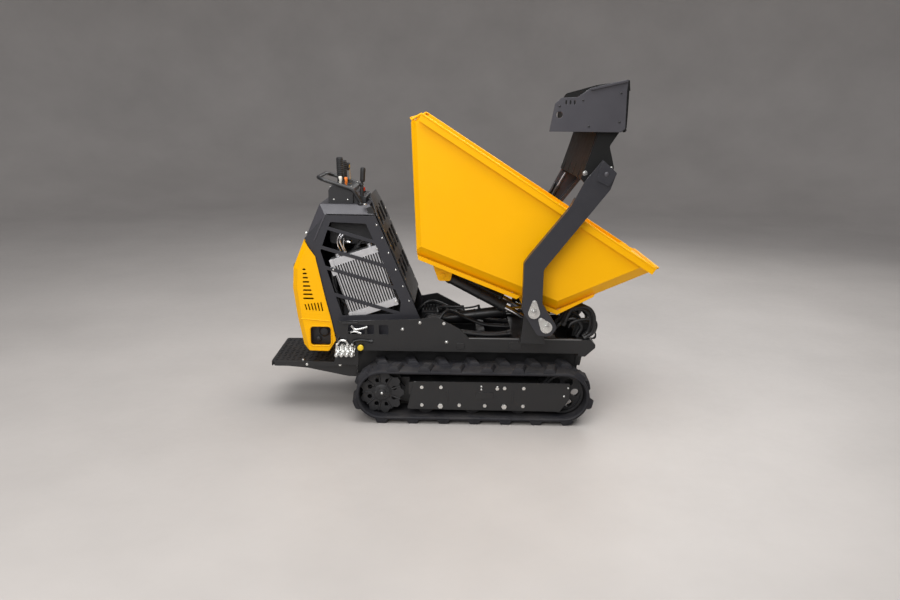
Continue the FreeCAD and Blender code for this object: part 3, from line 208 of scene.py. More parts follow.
FINISH = {
    "yellow": surface("yellow_paint", YELLOW, 0.42, coat=0.04, specular=0.16, shade=0.03, grain=0.10,
                      grain_scale=350.0, edge_colour=(0.95, 0.58, 0.10), edge_wear=0.35, corner=0.003),
    "black": surface("black_paint", (0.010, 0.010, 0.011), 0.42, coat=0.10, grain=0.22, grain_scale=500.0,
                     edge_colour=(0.12, 0.12, 0.12), edge_wear=0.5, dust=0.05, corner=0.0015),
    "arm": surface("arm_paint", (0.024, 0.024, 0.030), 0.42, coat=0.10, grain=0.20, grain_scale=500.0,
                   edge_colour=(0.15, 0.15, 0.15), edge_wear=0.5, dust=0.04, corner=0.002),
    "panel": surface("panel_paint", (0.020, 0.020, 0.026), 0.50, grain=0.25, grain_scale=600.0,
                     edge_colour=(0.12, 0.12, 0.12), edge_wear=0.4, dust=0.04),
    "cap": surface("cap_paint", (0.055, 0.053, 0.062), 0.40, grain=0.25, grain_scale=600.0, dust=0.05,
                   edge_colour=(0.16, 0.16, 0.17), edge_wear=0.3, corner=0.004),
    "rubber": surface("track_rubber", (0.017, 0.017, 0.021), 0.72, shade=0.25, shade_scale=6.0, grain=0.6,
                      grain_scale=260.0, dust=0.16, corner=0.002, specular=0.3),
    "hose": surface("hose_rubber", (0.010, 0.010, 0.011), 0.40, grain=0.5, grain_scale=700.0, corner=0.0005),
    "shovel": surface("shovel_paint", (0.009, 0.009, 0.009), 0.55, shade=0.2, grain=0.3, grain_scale=300.0,
                      edge_colour=(0.10, 0.10, 0.10), edge_wear=0.6, specular=0.25),
    # edge: grey paint for thin strips that stand in for the highlights along painted edges (painted
    # highlight)
    "edge": surface("painted_highlight_grey", (0.16, 0.16, 0.16), 0.35, grain=0.2, grain_scale=300.0),
    # rod: the tilt rods are chrome, painted a dark dull grey as painted shade, for the dark tone they show
    # where they sit in shadow
    "rod": surface("chrome_darkened_for_shade", (0.22, 0.22, 0.23), 0.30, metallic=1.0, grain=0.1, grain_scale=300.0),
    "zinc": surface("zinc_plate", (0.72, 0.72, 0.70), 0.28, metallic=1.0, shade=0.08, shade_scale=40.0,
                    grain=0.15, corner=0.0012),
    "chrome": surface("chrome_rod", (0.86, 0.86, 0.88), 0.10, metallic=1.0, shade=0.03, grain=0.04,
                      grain_scale=300.0, stretch=(1.0, 1.0, 12.0)),
    "cooler": surface("cooler_aluminium", (0.66, 0.66, 0.68), 0.38, metallic=0.85, shade=0.08,
                      shade_scale=20.0, grain=0.25, grain_scale=300.0),
    "cast": surface("cast_metal", (0.020, 0.020, 0.022), 0.50, metallic=0.2, shade=0.2, shade_scale=12.0,
                    grain=0.5, grain_scale=220.0, edge_colour=(0.20, 0.20, 0.20), edge_wear=0.5, dust=0.10),
    "engine": surface("engine_castings", (0.12, 0.12, 0.13), 0.46, metallic=0.8, shade=0.15,
                      shade_scale=12.0, grain=0.6, grain_scale=260.0, dust=0.08),
    "plastic": surface("black_plastic", (0.016, 0.016, 0.018), 0.50, grain=0.6, grain_scale=450.0,
                       corner=0.002, dust=0.03),
    "grip": surface("grip_rubber", (0.014, 0.014, 0.015), 0.62, grain=0.8, grain_scale=380.0, corner=0.002),
    "red": surface("red_plastic", (0.60, 0.02, 0.01), 0.25, coat=0.4, shade=0.04, grain=0.05, corner=0.002),
    "orange": surface("orange_plastic", (0.80, 0.20, 0.02), 0.30, coat=0.3, shade=0.04, grain=0.05),
    "white": surface("pale_plastic", (0.78, 0.74, 0.66), 0.35, coat=0.2, shade=0.04, grain=0.05),
    "cap_yellow": surface("yellow_plastic", (0.90, 0.62, 0.02), 0.30, coat=0.3, shade=0.04, grain=0.05),
}

NODE_FINISH = {
    "skip_tub": "yellow", "skip_underframe": "yellow", "rear_cover": "yellow",
    "right_loader_arm": "arm", "left_loader_arm": "arm", "shovel_guard": "cap", "shovel": "shovel",
    "right_tower_panel": "panel", "left_tower_panel": "panel", "tower_top_cover": "cap",
    "right_track_belt": "rubber", "left_track_belt": "rubber",
    "side_plate_bolts": "zinc", "frame_bolts": "zinc", "arm_pins": "zinc", "hose_fittings": "zinc",
    "dump_cylinder_rods": "chrome", "lift_cylinder_rod": "chrome", "tilt_cylinder_rods": "rod",
    "throttle_lever": "zinc",
    "oil_cooler": "cooler", "engine": "engine", "hydraulic_pump": "engine", "valve_block": "cast",
    "battery": "plastic", "fuel_tank": "plastic", "fuel_cap": "plastic", "cooling_fan": "plastic",
    "console": "plastic", "ignition_key": "plastic", "stop_button": "red", "front_hoses": "hose",
}


def finish_of(node):
    if node in NODE_FINISH:
        return NODE_FINISH[node]
    if "sprocket" in node or "idler" in node or "roller" in node:
        return "cast"
    if node.endswith("lever"):
        return "plastic"
    return "black"


def paint_nodes():
    for name, thing in NODES.items():
        thing.data.materials.clear()
        thing.data.materials.append(FINISH[finish_of(name)])


# ---------------------------------------------------------------- shapes

SMOOTH_BELOW = math.radians(35)


def smooth_path(points, steps):
    """Points along a Catmull-Rom curve through the given ones."""
    points = [Vector(p) for p in points]
    ends = [points[0] * 2 - points[1]] + points + [points[-1] * 2 - points[-2]]
    path = []
    for p0, p1, p2, p3 in zip(ends, ends[1:], ends[2:], ends[3:]):
        for k in range(steps):
            t = k / steps
            path.append(0.5 * (2 * p1 + (p2 - p0) * t + (2 * p0 - 5 * p1 + 4 * p2 - p3) * t ** 2
                               + (3 * p1 - p0 - 3 * p2 + p3) * t ** 3))
    return path + [points[-1]]


def panel(x, z, width, height, turn=0.0, corner=3.0):
    """Rounded rectangle in x and z about its middle, turned by degrees."""
    along = Vector((math.cos(math.radians(turn)), math.sin(math.radians(turn))))
    up = Vector((-along.y, along.x))
    outline = []
    for k, (sx, sz) in enumerate(((1, 1), (-1, 1), (-1, -1), (1, -1))):
        for step in range(4):
            angle = math.radians(90 * k + 30 * step)
            local = (sx * (width / 2 - corner) + corner * math.cos(angle),
                     sz * (height / 2 - corner) + corner * math.sin(angle))
            point = Vector((x, z)) + along * local[0] + up * local[1]
            outline.append((point.x, point.y))
    return outline


class Piece:
    """One mesh put together from simple shapes, in millimetres from the middle of the tracks."""

    def __init__(self):
        self.mesh = bmesh.new()

    def skin(self, rings, closed=False):
        """Joins rings of points in turn, and caps both ends unless the last ring meets the first."""
        rows = [[self.mesh.verts.new(point) for point in ring] for ring in rings]
        if closed:
            rows.append(rows[0])
        for first, second in zip(rows, rows[1:]):
            for i in range(len(first)):
                k = (i + 1) % len(first)
                self.mesh.faces.new((first[i], first[k], second[k], second[i]))
        if not closed:
            self.mesh.faces.new(rows[0][::-1])
            self.mesh.faces.new(rows[-1])

    def round_ring(self, centre, ahead, side, radius, sides):
        other = ahead.cross(side)
        return [centre + (side * math.cos(2 * math.pi * k / sides)
                          + other * math.sin(2 * math.pi * k / sides)) * radius for k in range(sides)]

    def lathe(self, start, axis, profile, sides=24):
        """A turned shape: the profile gives (distance along the axis, radius)."""
        axis = Vector(axis).normalized()
        side = axis.orthogonal().normalized()
        self.skin([self.round_ring(Vector(start) + axis * distance, axis, side, radius, sides)
                   for distance, radius in profile])

    def collar(self, start, axis, length, inner, outer, sides=28):
        """A hollow ring round a cylinder."""
        axis = Vector(axis).normalized()
        side = axis.orthogonal().normalized()
        section = ((0, inner), (0, outer - 1), (1, outer), (length - 1, outer), (length, outer - 1),
                   (length, inner))
        self.skin([self.round_ring(Vector(start) + axis * distance, axis, side, radius, sides)
                   for distance, radius in section], closed=True)

    def tube(self, points, radius, sides=10, steps=8):
        path = smooth_path(points, steps)
        side = None
        rings = []
        for i, centre in enumerate(path):
            ahead = (path[min(i + 1, len(path) - 1)] - path[max(i - 1, 0)]).normalized()
            if side is None:
                side = ahead.orthogonal()
            side = (side - ahead * side.dot(ahead)).normalized()
            rings.append(self.round_ring(centre, ahead, side, radius, sides))
        self.skin(rings)

    def hose(self, points, radius):
        """A hose with a crimped collar and a hexagon nut at both ends."""
        self.tube(points, radius)
        for end, after in ((points[0], points[1]), (points[-1], points[-2])):
            axis = Vector(after) - Vector(end)
            self.lathe(end, axis, ((0, radius * 1.1), (1, radius * 1.35), (16, radius * 1.35),
                                   (18, radius * 1.1)), 12)
            self.lathe(end, axis, ((-3, radius * 1.5), (5, radius * 1.5)), 6)

    def prism(self, outline, low, high, crown=1.0):
        """A plate with an (x, z) outline between two distances along Y, its rims bevelled by crown."""
        middle = Vector((sum(p[0] for p in outline), sum(p[1] for p in outline))) / len(outline)
        rings = []
        for y, shrink in ((low, crown), (low + crown, 0), (high - crown, 0), (high, crown)):
            ring = []
            for point in outline:
                inward = (middle - Vector(point)).normalized() * shrink
                ring.append((point[0] + inward.x, y, point[1] + inward.y))
            rings.append(ring)
        self.skin(rings)

    def bolt(self, place, axis, radius):
        """A hexagon head on a washer."""
        self.lathe(place, axis, ((0, radius * 1.45), (radius * 0.2, radius * 1.45)), 20)
        self.lathe(place, axis, ((radius * 0.2, radius), (radius * 0.75, radius),
                                 (radius * 0.9, radius * 0.8)), 6)

    def dome(self, place, axis, radius):
        self.lathe(place, axis, ((0, radius), (radius * 0.3, radius * 0.95), (radius * 0.55, radius * 0.7),
                                 (radius * 0.7, radius * 0.3)), 16)

    def done(self, name, body, finish):
        bmesh.ops.recalc_face_normals(self.mesh, faces=self.mesh.faces)
        self.mesh.transform(Matrix.Translation((TRACK_CENTRE, 0, 0)) @ Matrix.Scale(0.001, 4))
        mesh = bpy.data.meshes.new(name)
        self.mesh.to_mesh(mesh)
        self.mesh.free()
        mesh.shade_smooth()
        mesh.set_sharp_from_angle(angle=SMOOTH_BELOW)
        mesh.materials.append(FINISH[finish])
        thing = bpy.data.objects.new(name, mesh)
        bpy.context.scene.collection.objects.link(thing)
        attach(thing, body)
        return thing


# ---------------------------------------------------------------- undercarriage

WHEELBASE_HALF = (TRACK_FRONT.x - TRACK_REAR.x) * 500
AXLE_HEIGHT = TRACK_REAR.z * 1000
TRACK_MIDDLE = 280.0
BELT_RADIUS = 121.0
STRAIGHT = 2 * WHEELBASE_HALF
BELT_LOOP = 2 * STRAIGHT + 2 * math.pi * BELT_RADIUS
LUG_PAIRS = 17
BELT_THICKNESS = 16
ROLLER_RADIUS = 47
ROLLER_SPACING = 220
SPOKES = 9
SPOKE_FROM, SPOKE_TO = 47, 92
PLATE_FACE = 340      # outer face of the cover plate


def on_belt(distance, height):
    """A point on the belt: distance runs round the loop from the middle of the ground run."""
    distance = (distance + STRAIGHT / 2) % BELT_LOOP
    arc = math.pi * BELT_RADIUS
    reach = BELT_RADIUS + height
    if distance < STRAIGHT:
        return distance - WHEELBASE_HALF, AXLE_HEIGHT - reach
    distance -= STRAIGHT
    if distance < arc:
        turn = distance / BELT_RADIUS
        return WHEELBASE_HALF + reach * math.sin(turn), AXLE_HEIGHT - reach * math.cos(turn)
    distance -= arc
    if distance < STRAIGHT:
        return WHEELBASE_HALF - distance, AXLE_HEIGHT + reach
    turn = (distance - STRAIGHT) / BELT_RADIUS
    return -WHEELBASE_HALF - reach * math.sin(turn), AXLE_HEIGHT + reach * math.cos(turn)


BELT_SECTION = ((-90, -6), (-87, -1.5), (-60, 0), (60, 0), (87, -1.5), (90, -6), (90, -11), (86, -16),
                (-86, -16), (-90, -11))
BELT_STEPS = 170
LUG_RINGS = ((-2.0, 0.0), (6.0, 3.0), (14.0, 8.0), (18.0, 13.0))      # height, how far the sides draw in
LUG_HALF = 29.0
LUG_SKEW = 20.0


def track_belt(side_name, side):
    """Rubber belt: a rounded carcass with tapering lugs staggered from one half to the other."""
    piece = Piece()

    def place(distance, y, height):
        x, z = on_belt(distance, height)
        return x, side * (TRACK_MIDDLE + y), z

    piece.skin([[place(BELT_LOOP * k / BELT_STEPS, y, h) for y, h in BELT_SECTION]
                for k in range(BELT_STEPS)], closed=True)
    pitch = BELT_LOOP / LUG_PAIRS
    for half, phase in ((1, 0.0), (-1, 0.5)):
        for i in range(LUG_PAIRS):
            centre = (i + phase) * pitch
            rings = []
            for height, draw in LUG_RINGS:
                near, far = 4 + draw * 0.5, 89 - draw * 0.4
                reach = LUG_HALF - draw
                ring = []
                for along, across in ((-1, near), (-1, far), (0, far), (1, far), (1, near), (0, near)):
                    skew = LUG_SKEW * (across / 90 - 0.5)
                    ring.append(place(centre + along * reach + skew, half * across, height))
                rings.append(ring)
            piece.skin(rings)
    thing = piece.done(side_name + "_rubber_track", "machine", "rubber")
    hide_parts(side_name + "_track_belt")


def ring_of_bolts(piece, centre, y, side, radius, count, size):
    for k in range(count):
        angle = 2 * math.pi * k / count
        piece.bolt((centre[0] + radius * math.cos(angle), y, centre[1] + radius * math.sin(angle)),
                   (0, side, 0), size)


def wheel_details(side_name, side):
    """Hub cap and bolts on the sprocket and the idler, end caps on the rollers."""
    rear, front = (-WHEELBASE_HALF, AXLE_HEIGHT), (WHEELBASE_HALF, AXLE_HEIGHT)
    hub = Piece()
    hub.lathe((rear[0], side * 326, rear[1]), (0, side, 0), ((0, 40), (3, 40), (6, 34), (8, 20), (12, 19),
                                                             (14, 15)))
    for k in range(SPOKES):
        angle = math.radians(360 / SPOKES * (k + 0.5))
        start, end = ((rear[0] + reach * math.cos(angle), side * 324, rear[1] + reach * math.sin(angle))
                      for reach in (SPOKE_FROM, SPOKE_TO))
        hub.tube((start, end), 4.5, steps=1)
    hub.done(side_name + "_sprocket_hub", side_name + "_drive", "cast")
    bolts = Piece()
    ring_of_bolts(bolts, rear, side * 332, side, 28, 6, 4.5)
    bolts.done(side_name + "_sprocket_bolts", side_name + "_drive", "cast")
    centre = Piece()
    centre.dome((rear[0], side * PLATE_FACE, rear[1]), (0, side, 0), 7)
    centre.done(side_name + "_sprocket_centre", side_name + "_drive", "zinc")
    cap = Piece()
    cap.lathe((front[0], side * 308, front[1]), (0, side, 0), ((0, 34), (4, 33), (7, 24), (16, 23), (19, 18)))
    ring_of_bolts(cap, front, side * 310, side, 29, 5, 3.5)
    cap.done(side_name + "_idler_cap", side_name + "_tension", "cast")
    for index, spot in enumerate(("rear", "middle", "front")):
        x = (index - 1) * ROLLER_SPACING
        z = AXLE_HEIGHT - BELT_RADIUS + BELT_THICKNESS + ROLLER_RADIUS
        seal = Piece()
        seal.lathe((x, side * 311, z), (0, side, 0), ((0, 26), (3, 25), (5, 19), (9, 18), (10, 15)))
        seal.done("%s_%s_roller_seal" % (side_name, spot), "%s_%s_wheel" % (side_name, spot), "cast")


PLATE_RIVETS = ((41, 165), (41, 180), (116, 180), (448, 178), (430, 137))


def frame_details(side_name, side):
    """Grease hatch, slots and folded edge of the track frame's cover plate."""
    piece = Piece()
    piece.tube(((-268, side * PLATE_FACE, 199), (452, side * PLATE_FACE, 199)), 2.2, steps=1)
    piece.prism(panel(56, 135, 84, 34, corner=6), *sorted((side * PLATE_FACE, side * (PLATE_FACE + 2.5))))
    for x in (-118, 188):
        piece.prism(panel(x, 128, 10, 60, corner=5), *sorted((side * PLATE_FACE, side * (PLATE_FACE + 1.5))))
    piece.done(side_name + "_cover_plate_details", "machine", "black")
    small = Piece()
    for x, z in PLATE_RIVETS:
        small.dome((x, side * PLATE_FACE, z), (0, side, 0), 5.0)
    small.done(side_name + "_cover_plate_rivets", "machine", "zinc")
    tension = Piece()
    tension.lathe((312, side * 300, 165), (1, 0, 0), ((0, 16), (60, 16), (62, 9), (96, 9)), 16)
    for k in range(9):
        tension.lathe((322 + 8 * k, side * 300, 165), (1, 0, 0), ((0, 17), (1.5, 24), (5, 24), (6.5, 17)), 16)
    tension.done(side_name + "_tensioner", "machine", "cast")


# ---------------------------------------------------------------- chassis

FRONT_LOOPS = ((-232, 572, 548), (-204, 560, 532), (-172, 568, 540), (-128, 552, 524), (130, 560, 536),
               (196, 568, 544))      # y, how far forward and how high each loop reaches


def chassis_hoses():
    """Hydraulic hoses along the rails, under the skip and over the nose."""
    piece = Piece()
    for k, y in enumerate((-205, -188, -171, 176, 194)):
        lift = 8 * (k % 2)
        piece.hose(((-250, y * 0.8, 402 + lift), (-140, y, 412 + lift), (-20, y, 399), (90, y, 393),
                    (180, y * 0.97, 400 + lift)), 7.5)
    for k, y in enumerate((-60, -42, 44, 62)):
        piece.hose(((-165, y * 1.6, 440), (-120, y * 1.3, 478 - 6 * k), (-40, y, 440), (60, y, 404),
                    (180, y, 396)), 7.0)
    for y, reach, top in FRONT_LOOPS:
        piece.hose(((530, y, 394), (reach - 8, y, 420), (reach, y + 4, 468), (reach - 8, y + 8, top - 34),
                    (reach - 44, y + 12, top - 6), (reach - 110, y + 16, top - 22), (430, y + 20, 452)), 9.0)
    for y, lift in ((-196, 0), (-150, 14), (96, 4), (150, 18)):
        piece.hose(((500, y, 392), (520, y, 440 + lift), (480, y + 6, 478 + lift), (420, y + 12, 452 + lift),
                    (380, y + 14, 404)), 9.0)
    piece.hose(((-300, 120, 402), (-220, 150, 468), (-120, 150, 440), (-60, 120, 400)), 8.0)
    piece.done("chassis_hoses", "machine", "hose")


RAIL_FACE = 250      # outer face of the rails


def chassis_details():
    """Plates and bosses on the rails, grey strips that paint a highlight along their edges, and bolts on the
    rails and the nose.
    """
    nose = Piece()
    for side in (RIGHT, LEFT):
        nose.prism(panel(200, 354, 60, 40, corner=8), *sorted((side * RAIL_FACE, side * (RAIL_FACE + 3))))
        nose.prism(panel(-60, 350, 40, 30, corner=8), *sorted((side * RAIL_FACE, side * (RAIL_FACE + 3))))
        nose.prism(((-620, 452), (-545, 455), (-545, 461), (-620, 459)),
                   *sorted((side * RAIL_FACE, side * (RAIL_FACE + 12))))
        nose.lathe((MAIN_X, side * 300, MAIN_Z), (0, side, 0), ((-8, 30), (0, 30), (1, 24), (2, 20)))
    nose.prism(((-662, 247), (-545, 247), (-545, 330), (-650, 330)), -248.0, -243.0)
    nose.done("chassis_edges", "machine", "black")
    # Thin grey strips along the rails' top edges and the cover plates' edges: painted highlights
    edges = Piece()
    for side in (RIGHT, LEFT):
        edges.tube(((-20, side * 249, 387.5), (512, side * 249, 387.5)), 2.6, steps=1)
        edges.tube(((-276, side * 339, 199), (452, side * 339, 199)), 2.2, steps=1)
    edges.done("rail_and_plate_painted_highlights", "machine", "edge")
    bolts = Piece()
    for side in (RIGHT, LEFT):
        for x, z in ((-335, 429), (-253, 462), (-126, 369)):
            bolts.dome((x, side * 256, z), (0, side, 0), 6.0)
    for y in (-90, 0, 90):
        bolts.bolt((560, y, 384), (0.7, 0, 0.7), 6.0)
    bolts.done("chassis_bolts", "machine", "zinc")


def couplers():
    """Quick couplers behind the right track, one with a yellow cap, and the bright linkage above."""
    steel = Piece()
    for k in range(4):
        x = -642 + 24 * k
        steel.lathe((x, -292, 313), (0, -1, 0), ((0, 9), (3, 11), (12, 11), (14, 8.5), (20, 8.5),
                                                 (22, 6)), 16)
        steel.lathe((x, -274, 313), (0, -1, 0), ((0, 11), (10, 11)), 6)
        steel.lathe((x, -263, 344), (0, 0, 1), ((0, 8), (6, 9), (12, 9), (14, 6)), 6)
    steel.tube(((-640, -263, 356), (-630, -268, 372), (-604, -268, 372), (-590, -262, 352)), 5)
    steel.tube(((-576, -254, 444), (-560, -257, 426), (-534, -257, 428), (-500, -256, 438)), 5.5)
    steel.tube(((-580, -254, 412), (-560, -257, 415), (-530, -256, 406)), 5.0)
    steel.done("couplers", "machine", "zinc")
    cap = Piece()
    cap.lathe((-532, -262, 340), (0, -1, 0), ((0, 12), (3, 14), (14, 14), (17, 11), (18, 5)))
    cap.lathe((-532, -250, 340), (0, -1, 0), ((0, 8), (14, 8)), 12)
    cap.done("coupler_cap", "machine", "cap_yellow")
    lines = Piece()
    lines.hose(((-640, -263, 346), (-640, -250, 380), (-610, -235, 402), (-560, -225, 402)), 6)
    lines.hose(((-570, -263, 346), (-566, -262, 366), (-530, -254, 372), (-480, -253, 366)), 6)
    lines.done("coupler_hoses", "machine", "hose")


def step_tread():
    """Raised five-bar pattern on the step, with its round head bolts."""
    piece = Piece()
    for row in range(13):
        for column in range(13):
            x = -952 + 26.5 * row
            y = -174 + 29 * column
            turn = 45 if (row + column) % 2 else -45
            along = Vector((math.cos(math.radians(turn)), math.sin(math.radians(turn)), 0))
            end = Vector((x, y, 245.2))
            piece.tube((end - along * 9, end + along * 9), 2.2, sides=6, steps=1)
    piece.done("step_tread", "machine", "black")
    bolts = Piece()
    for x, y in ((-822, -176), (-822, 176)):
        bolts.dome((x, y, 245), (0, 0, 1), 9)
    bolts.done("step_bolts", "machine", "zinc")


# ---------------------------------------------------------------- tower

COOLER = (-520.0, 640.0)
COOLER_LEAN = 19.0
COOLER_BARS = 18


def on_cooler(x, z):
    """A point on the cooler's own tilted axes."""
    lean = math.radians(COOLER_LEAN)
    return (COOLER[0] + x * math.cos(lean) - z * math.sin(lean),
            COOLER[1] + x * math.sin(lean) + z * math.cos(lean))


def cooler():
    """Dark core plates, bright bars, end tanks and bolts of the oil cooler."""
    face = Piece()
    face.prism(panel(*COOLER, 228, 236, COOLER_LEAN), -192.0, -190.0, 0.5)
    face.prism(panel(*COOLER, 228, 236, COOLER_LEAN), -140.0, -138.0, 0.5)
    face.done("cooler_core", "machine", "black")
    fins = Piece()
    for k in range(COOLER_BARS):
        x = -106 + 212 * k / (COOLER_BARS - 1)
        fins.prism(panel(*on_cooler(x, 0), 5.6, 236, COOLER_LEAN, corner=1.5), -201.0, -191.5, 0.8)
    fins.done("cooler_bars", "machine", "cooler")
    tanks = Piece()
    for end in (-1, 1):
        tanks.prism(panel(*on_cooler(0, end * 134), 242, 34, COOLER_LEAN), -200.0, -134.0, 3.0)
        for sign in (-1, 1):
            tanks.prism(panel(*on_cooler(sign * 112, end * 134), 18, 36, COOLER_LEAN), -202.0, -132.0)
    tanks.prism(panel(*on_cooler(-116, 96), 26, 46, COOLER_LEAN), -198.0, -176.0)
    tanks.done("cooler_tanks", "machine", "cooler")
    bolts = Piece()
    for x, z in ((-116, 104), (112, 134), (112, -134)):
        px, pz = on_cooler(x, z)
        bolts.bolt((px, -202, pz), (0, -1, 0), 5)
    bolts.done("cooler_bolts", "machine", "zinc")


def pipe_loops():
    """Bright pipes and a filter head above the cooler."""
    pipes = Piece()
    pipes.tube(((-632, -176, 786), (-644, -180, 814), (-644, -180, 846), (-630, -178, 868), (-612, -174, 874),
                (-590, -166, 862)), 3.6)
    pipes.tube(((-612, -170, 776), (-624, -174, 804), (-634, -176, 834), (-626, -174, 858),
                (-612, -174, 866)), 4.2)
    pipes.tube(((-606, -168, 778), (-618, -172, 810), (-616, -172, 846)), 2.8)
    pipes.lathe((-594, -168, 832), (0.1, -0.5, 1), ((-6, 10), (0, 15), (4, 15), (7, 10), (8, 4)), 20)
    pipes.done("cooler_pipes", "machine", "chrome")
    dark = Piece()
    dark.hose(((-560, -150, 800), (-530, -160, 836), (-490, -160, 830), (-470, -150, 780)), 9)
    dark.hose(((-680, -150, 700), (-668, -160, 620), (-640, -165, 560), (-560, -160, 470)), 9)
    dark.hose(((-655, -120, 740), (-664, -150, 660), (-640, -160, 500), (-600, -150, 420)), 8)
    dark.hose(((-400, -150, 470), (-380, -172, 520), (-372, -172, 580), (-420, -150, 640)), 8)
    dark.done("bay_hoses", "machine", "hose")


def engine_details():
    """Cylinder fins, recoil housing, air filter and silencer."""
    block = Piece()
    for k in range(9):
        block.prism(panel(-520, 572 + 13 * k, 172, 5, corner=2), -88.0, 98.0)
    block.lathe((-520, 110, 640), (0, 1, 0), ((0, 62), (4, 70), (20, 70), (28, 60), (34, 30), (36, 28)), 32)
    block.lathe((-455, -40, 690), (0, 0, 1), ((0, 28), (8, 30), (40, 30), (44, 20)))
    for x in (-600, -560, -480, -440):
        block.bolt((x, -100, 420), (0, -1, 0), 7)
        block.bolt((x, -100, 530), (0, -1, 0), 7)
    block.done("engine_fins", "machine", "engine")
    filters = Piece()
    filters.lathe((-560, 0, 742), (0, -1, 0), ((-70, 44), (-66, 48), (46, 48), (50, 44), (52, 20)), 28)
    filters.prism(panel(-560, 742, 20, 104, corner=6), -30.0, -20.0)
    filters.lathe((-450, 90, 560), (0, 0, 1), ((0, 34), (4, 36), (120, 36), (126, 30), (128, 12)))
    filters.done("engine_filters", "machine", "plastic")
    exhaust = Piece()
    exhaust.lathe((-640, 60, 520), (0, -1, 0), ((-30, 20), (-26, 42), (80, 42), (84, 36), (86, 14)), 28)
    exhaust.tube(((-640, -24, 520), (-640, -60, 520), (-640, -80, 500), (-640, -84, 440)), 12)
    exhaust.done("silencer", "machine", "cast")


FRONT_PLATE_BOLTS = (945, 885, 815, 735, 655, 585)


def tower_bolts():
    """Bolts along the front plate, on the top cover and at the back."""
    bolts = Piece()
    slope = (TOWER_HEAD[0] - TOWER_FOOT[0]) / (TOWER_HEAD[1] - TOWER_FOOT[1])
    for z in FRONT_PLATE_BOLTS:
        x = TOWER_FOOT[0] + slope * (z - TOWER_FOOT[1])
        for side in (RIGHT, LEFT):
            bolts.dome((x + 5, side * 188, z), (0.92, 0, 0.39), 6.5)
            bolts.dome((x - 2, side * 202, z - 30), (0, side, 0), 5.5)
    for y in (-186, 30, 186):
        bolts.bolt((-514, y, 1006), (0, 0, 1), 6.5)
    for side in (RIGHT, LEFT):
        bolts.bolt((-788, side * 182, 868), (-0.92, 0, 0.4), 7)
    bolts.done("tower_bolts", "machine", "zinc")


def front_plate_flanges():
    """Side flanges of the sloping front plate and the ribs behind it."""
    flanges = Piece()
    lean = math.degrees(math.atan2(TOWER_FOOT[0] - TOWER_HEAD[0], TOWER_HEAD[1] - TOWER_FOOT[1]))
    middle = ((TOWER_FOOT[0] + TOWER_HEAD[0]) / 2, (TOWER_FOOT[1] + TOWER_HEAD[1]) / 2)
    length = math.dist(TOWER_FOOT, TOWER_HEAD)
    for side in (RIGHT, LEFT):
        flanges.prism(panel(middle[0] - 8, middle[1] - 20, 26, length - 60, lean, 4),
                      *sorted((side * 192, side * 199)))
    for k in range(5):
        share = 0.12 + 0.19 * k
        x = TOWER_FOOT[0] + (TOWER_HEAD[0] - TOWER_FOOT[0]) * share
        z = TOWER_FOOT[1] + (TOWER_HEAD[1] - TOWER_FOOT[1]) * share
        flanges.prism(panel(x - 12, z, 18, 20, lean, 4), -185.0, 185.0)
    flanges.done("front_plate_flanges", "machine", "black")


def tower_latch():
    latch = Piece()
    latch.lathe((-786, 0, 862), (-0.92, 0, 0.39), ((0, 16), (4, 17), (14, 17), (17, 12)))
    latch.prism(panel(-600, 1006, 150, 3), -96.0, -88.0)
    latch.done("tower_latch", "machine", "plastic")


def tower_rear_wall():
    """Two plates that close the tower's back, and a gusset on each side."""
    rear = Piece()
    rear.prism(((-752, 786), (-690, 950), (-682, 950), (-744, 786)), -199.0, 199.0)
    rear.prism(((-752, 786), (-744, 790), (-668, 470), (-676, 466)), -199.0, 199.0)
    for side in (RIGHT, LEFT):
        rear.prism(((-796, 848), (-690, 966), (-682, 950), (-762, 772)), *sorted((side * 196, side * 203)))
    rear.done("tower_rear_wall", "machine", "panel")


def tower_shade_sheet():
    """A dark sheet inside the left wall that stands in for the shade inside the tower (painted shade), so
    that the tower's window isn't see-through.
    """
    shade_sheet = Piece()
    shade_sheet.prism(((-742, 790), (-678, 946), (-472, 946), (-298, 540), (-268, 470), (-268, 400), (-664, 400),
                  (-668, 470)), 190.0, 198.0)
    shade_sheet.done("tower_shade_sheet", "machine", "panel")


def cover_details():
    """Dark plate behind the cover's window, standing in for the shade inside it (painted shade), the window's
    rim, and the cover's knob and hinges.
    """
    pocket = Piece()
    for side in (RIGHT, LEFT):
        # The plate is painted shade: a dark sheet where the window shows only shade
        pocket.prism(panel(-728, 379, 112, 104, corner=16), *sorted((side * 168, side * 172)))
        pocket.lathe((-716, side * 172, 392), (0, side, 0), ((-2, 26), (6, 26), (9, 20), (12, 18), (14, 8)))
        pocket.lathe((-744, side * 172, 356), (0, side, 0), ((-2, 12), (14, 12), (16, 9)))
        pocket.lathe((-856, side * 120, 700), (-1, 0, 0.1), ((-3, 12), (0, 13), (6, 13), (9, 8)))
    pocket.lathe((-798, -190, 318), (0, 1, 0), ((0, 7), (380, 7)), 16)
    pocket.done("cover_pocket", "cover", "plastic")
    rim = Piece()
    for side in (RIGHT, LEFT):
        loop = panel(-728, 379, 104, 98, corner=18)
        rim.tube([(x, side * 215, z) for x, z in loop + loop[:1]], 3.2, steps=2)
        rim.tube([(-820, side * 213.5, 462), (-745, side * 216, 458), (-682, side * 216, 452)], 3.0)
    rim.done("cover_rim", "cover", "yellow")


# ---------------------------------------------------------------- controls

BOOT_FOOT = 1089.0


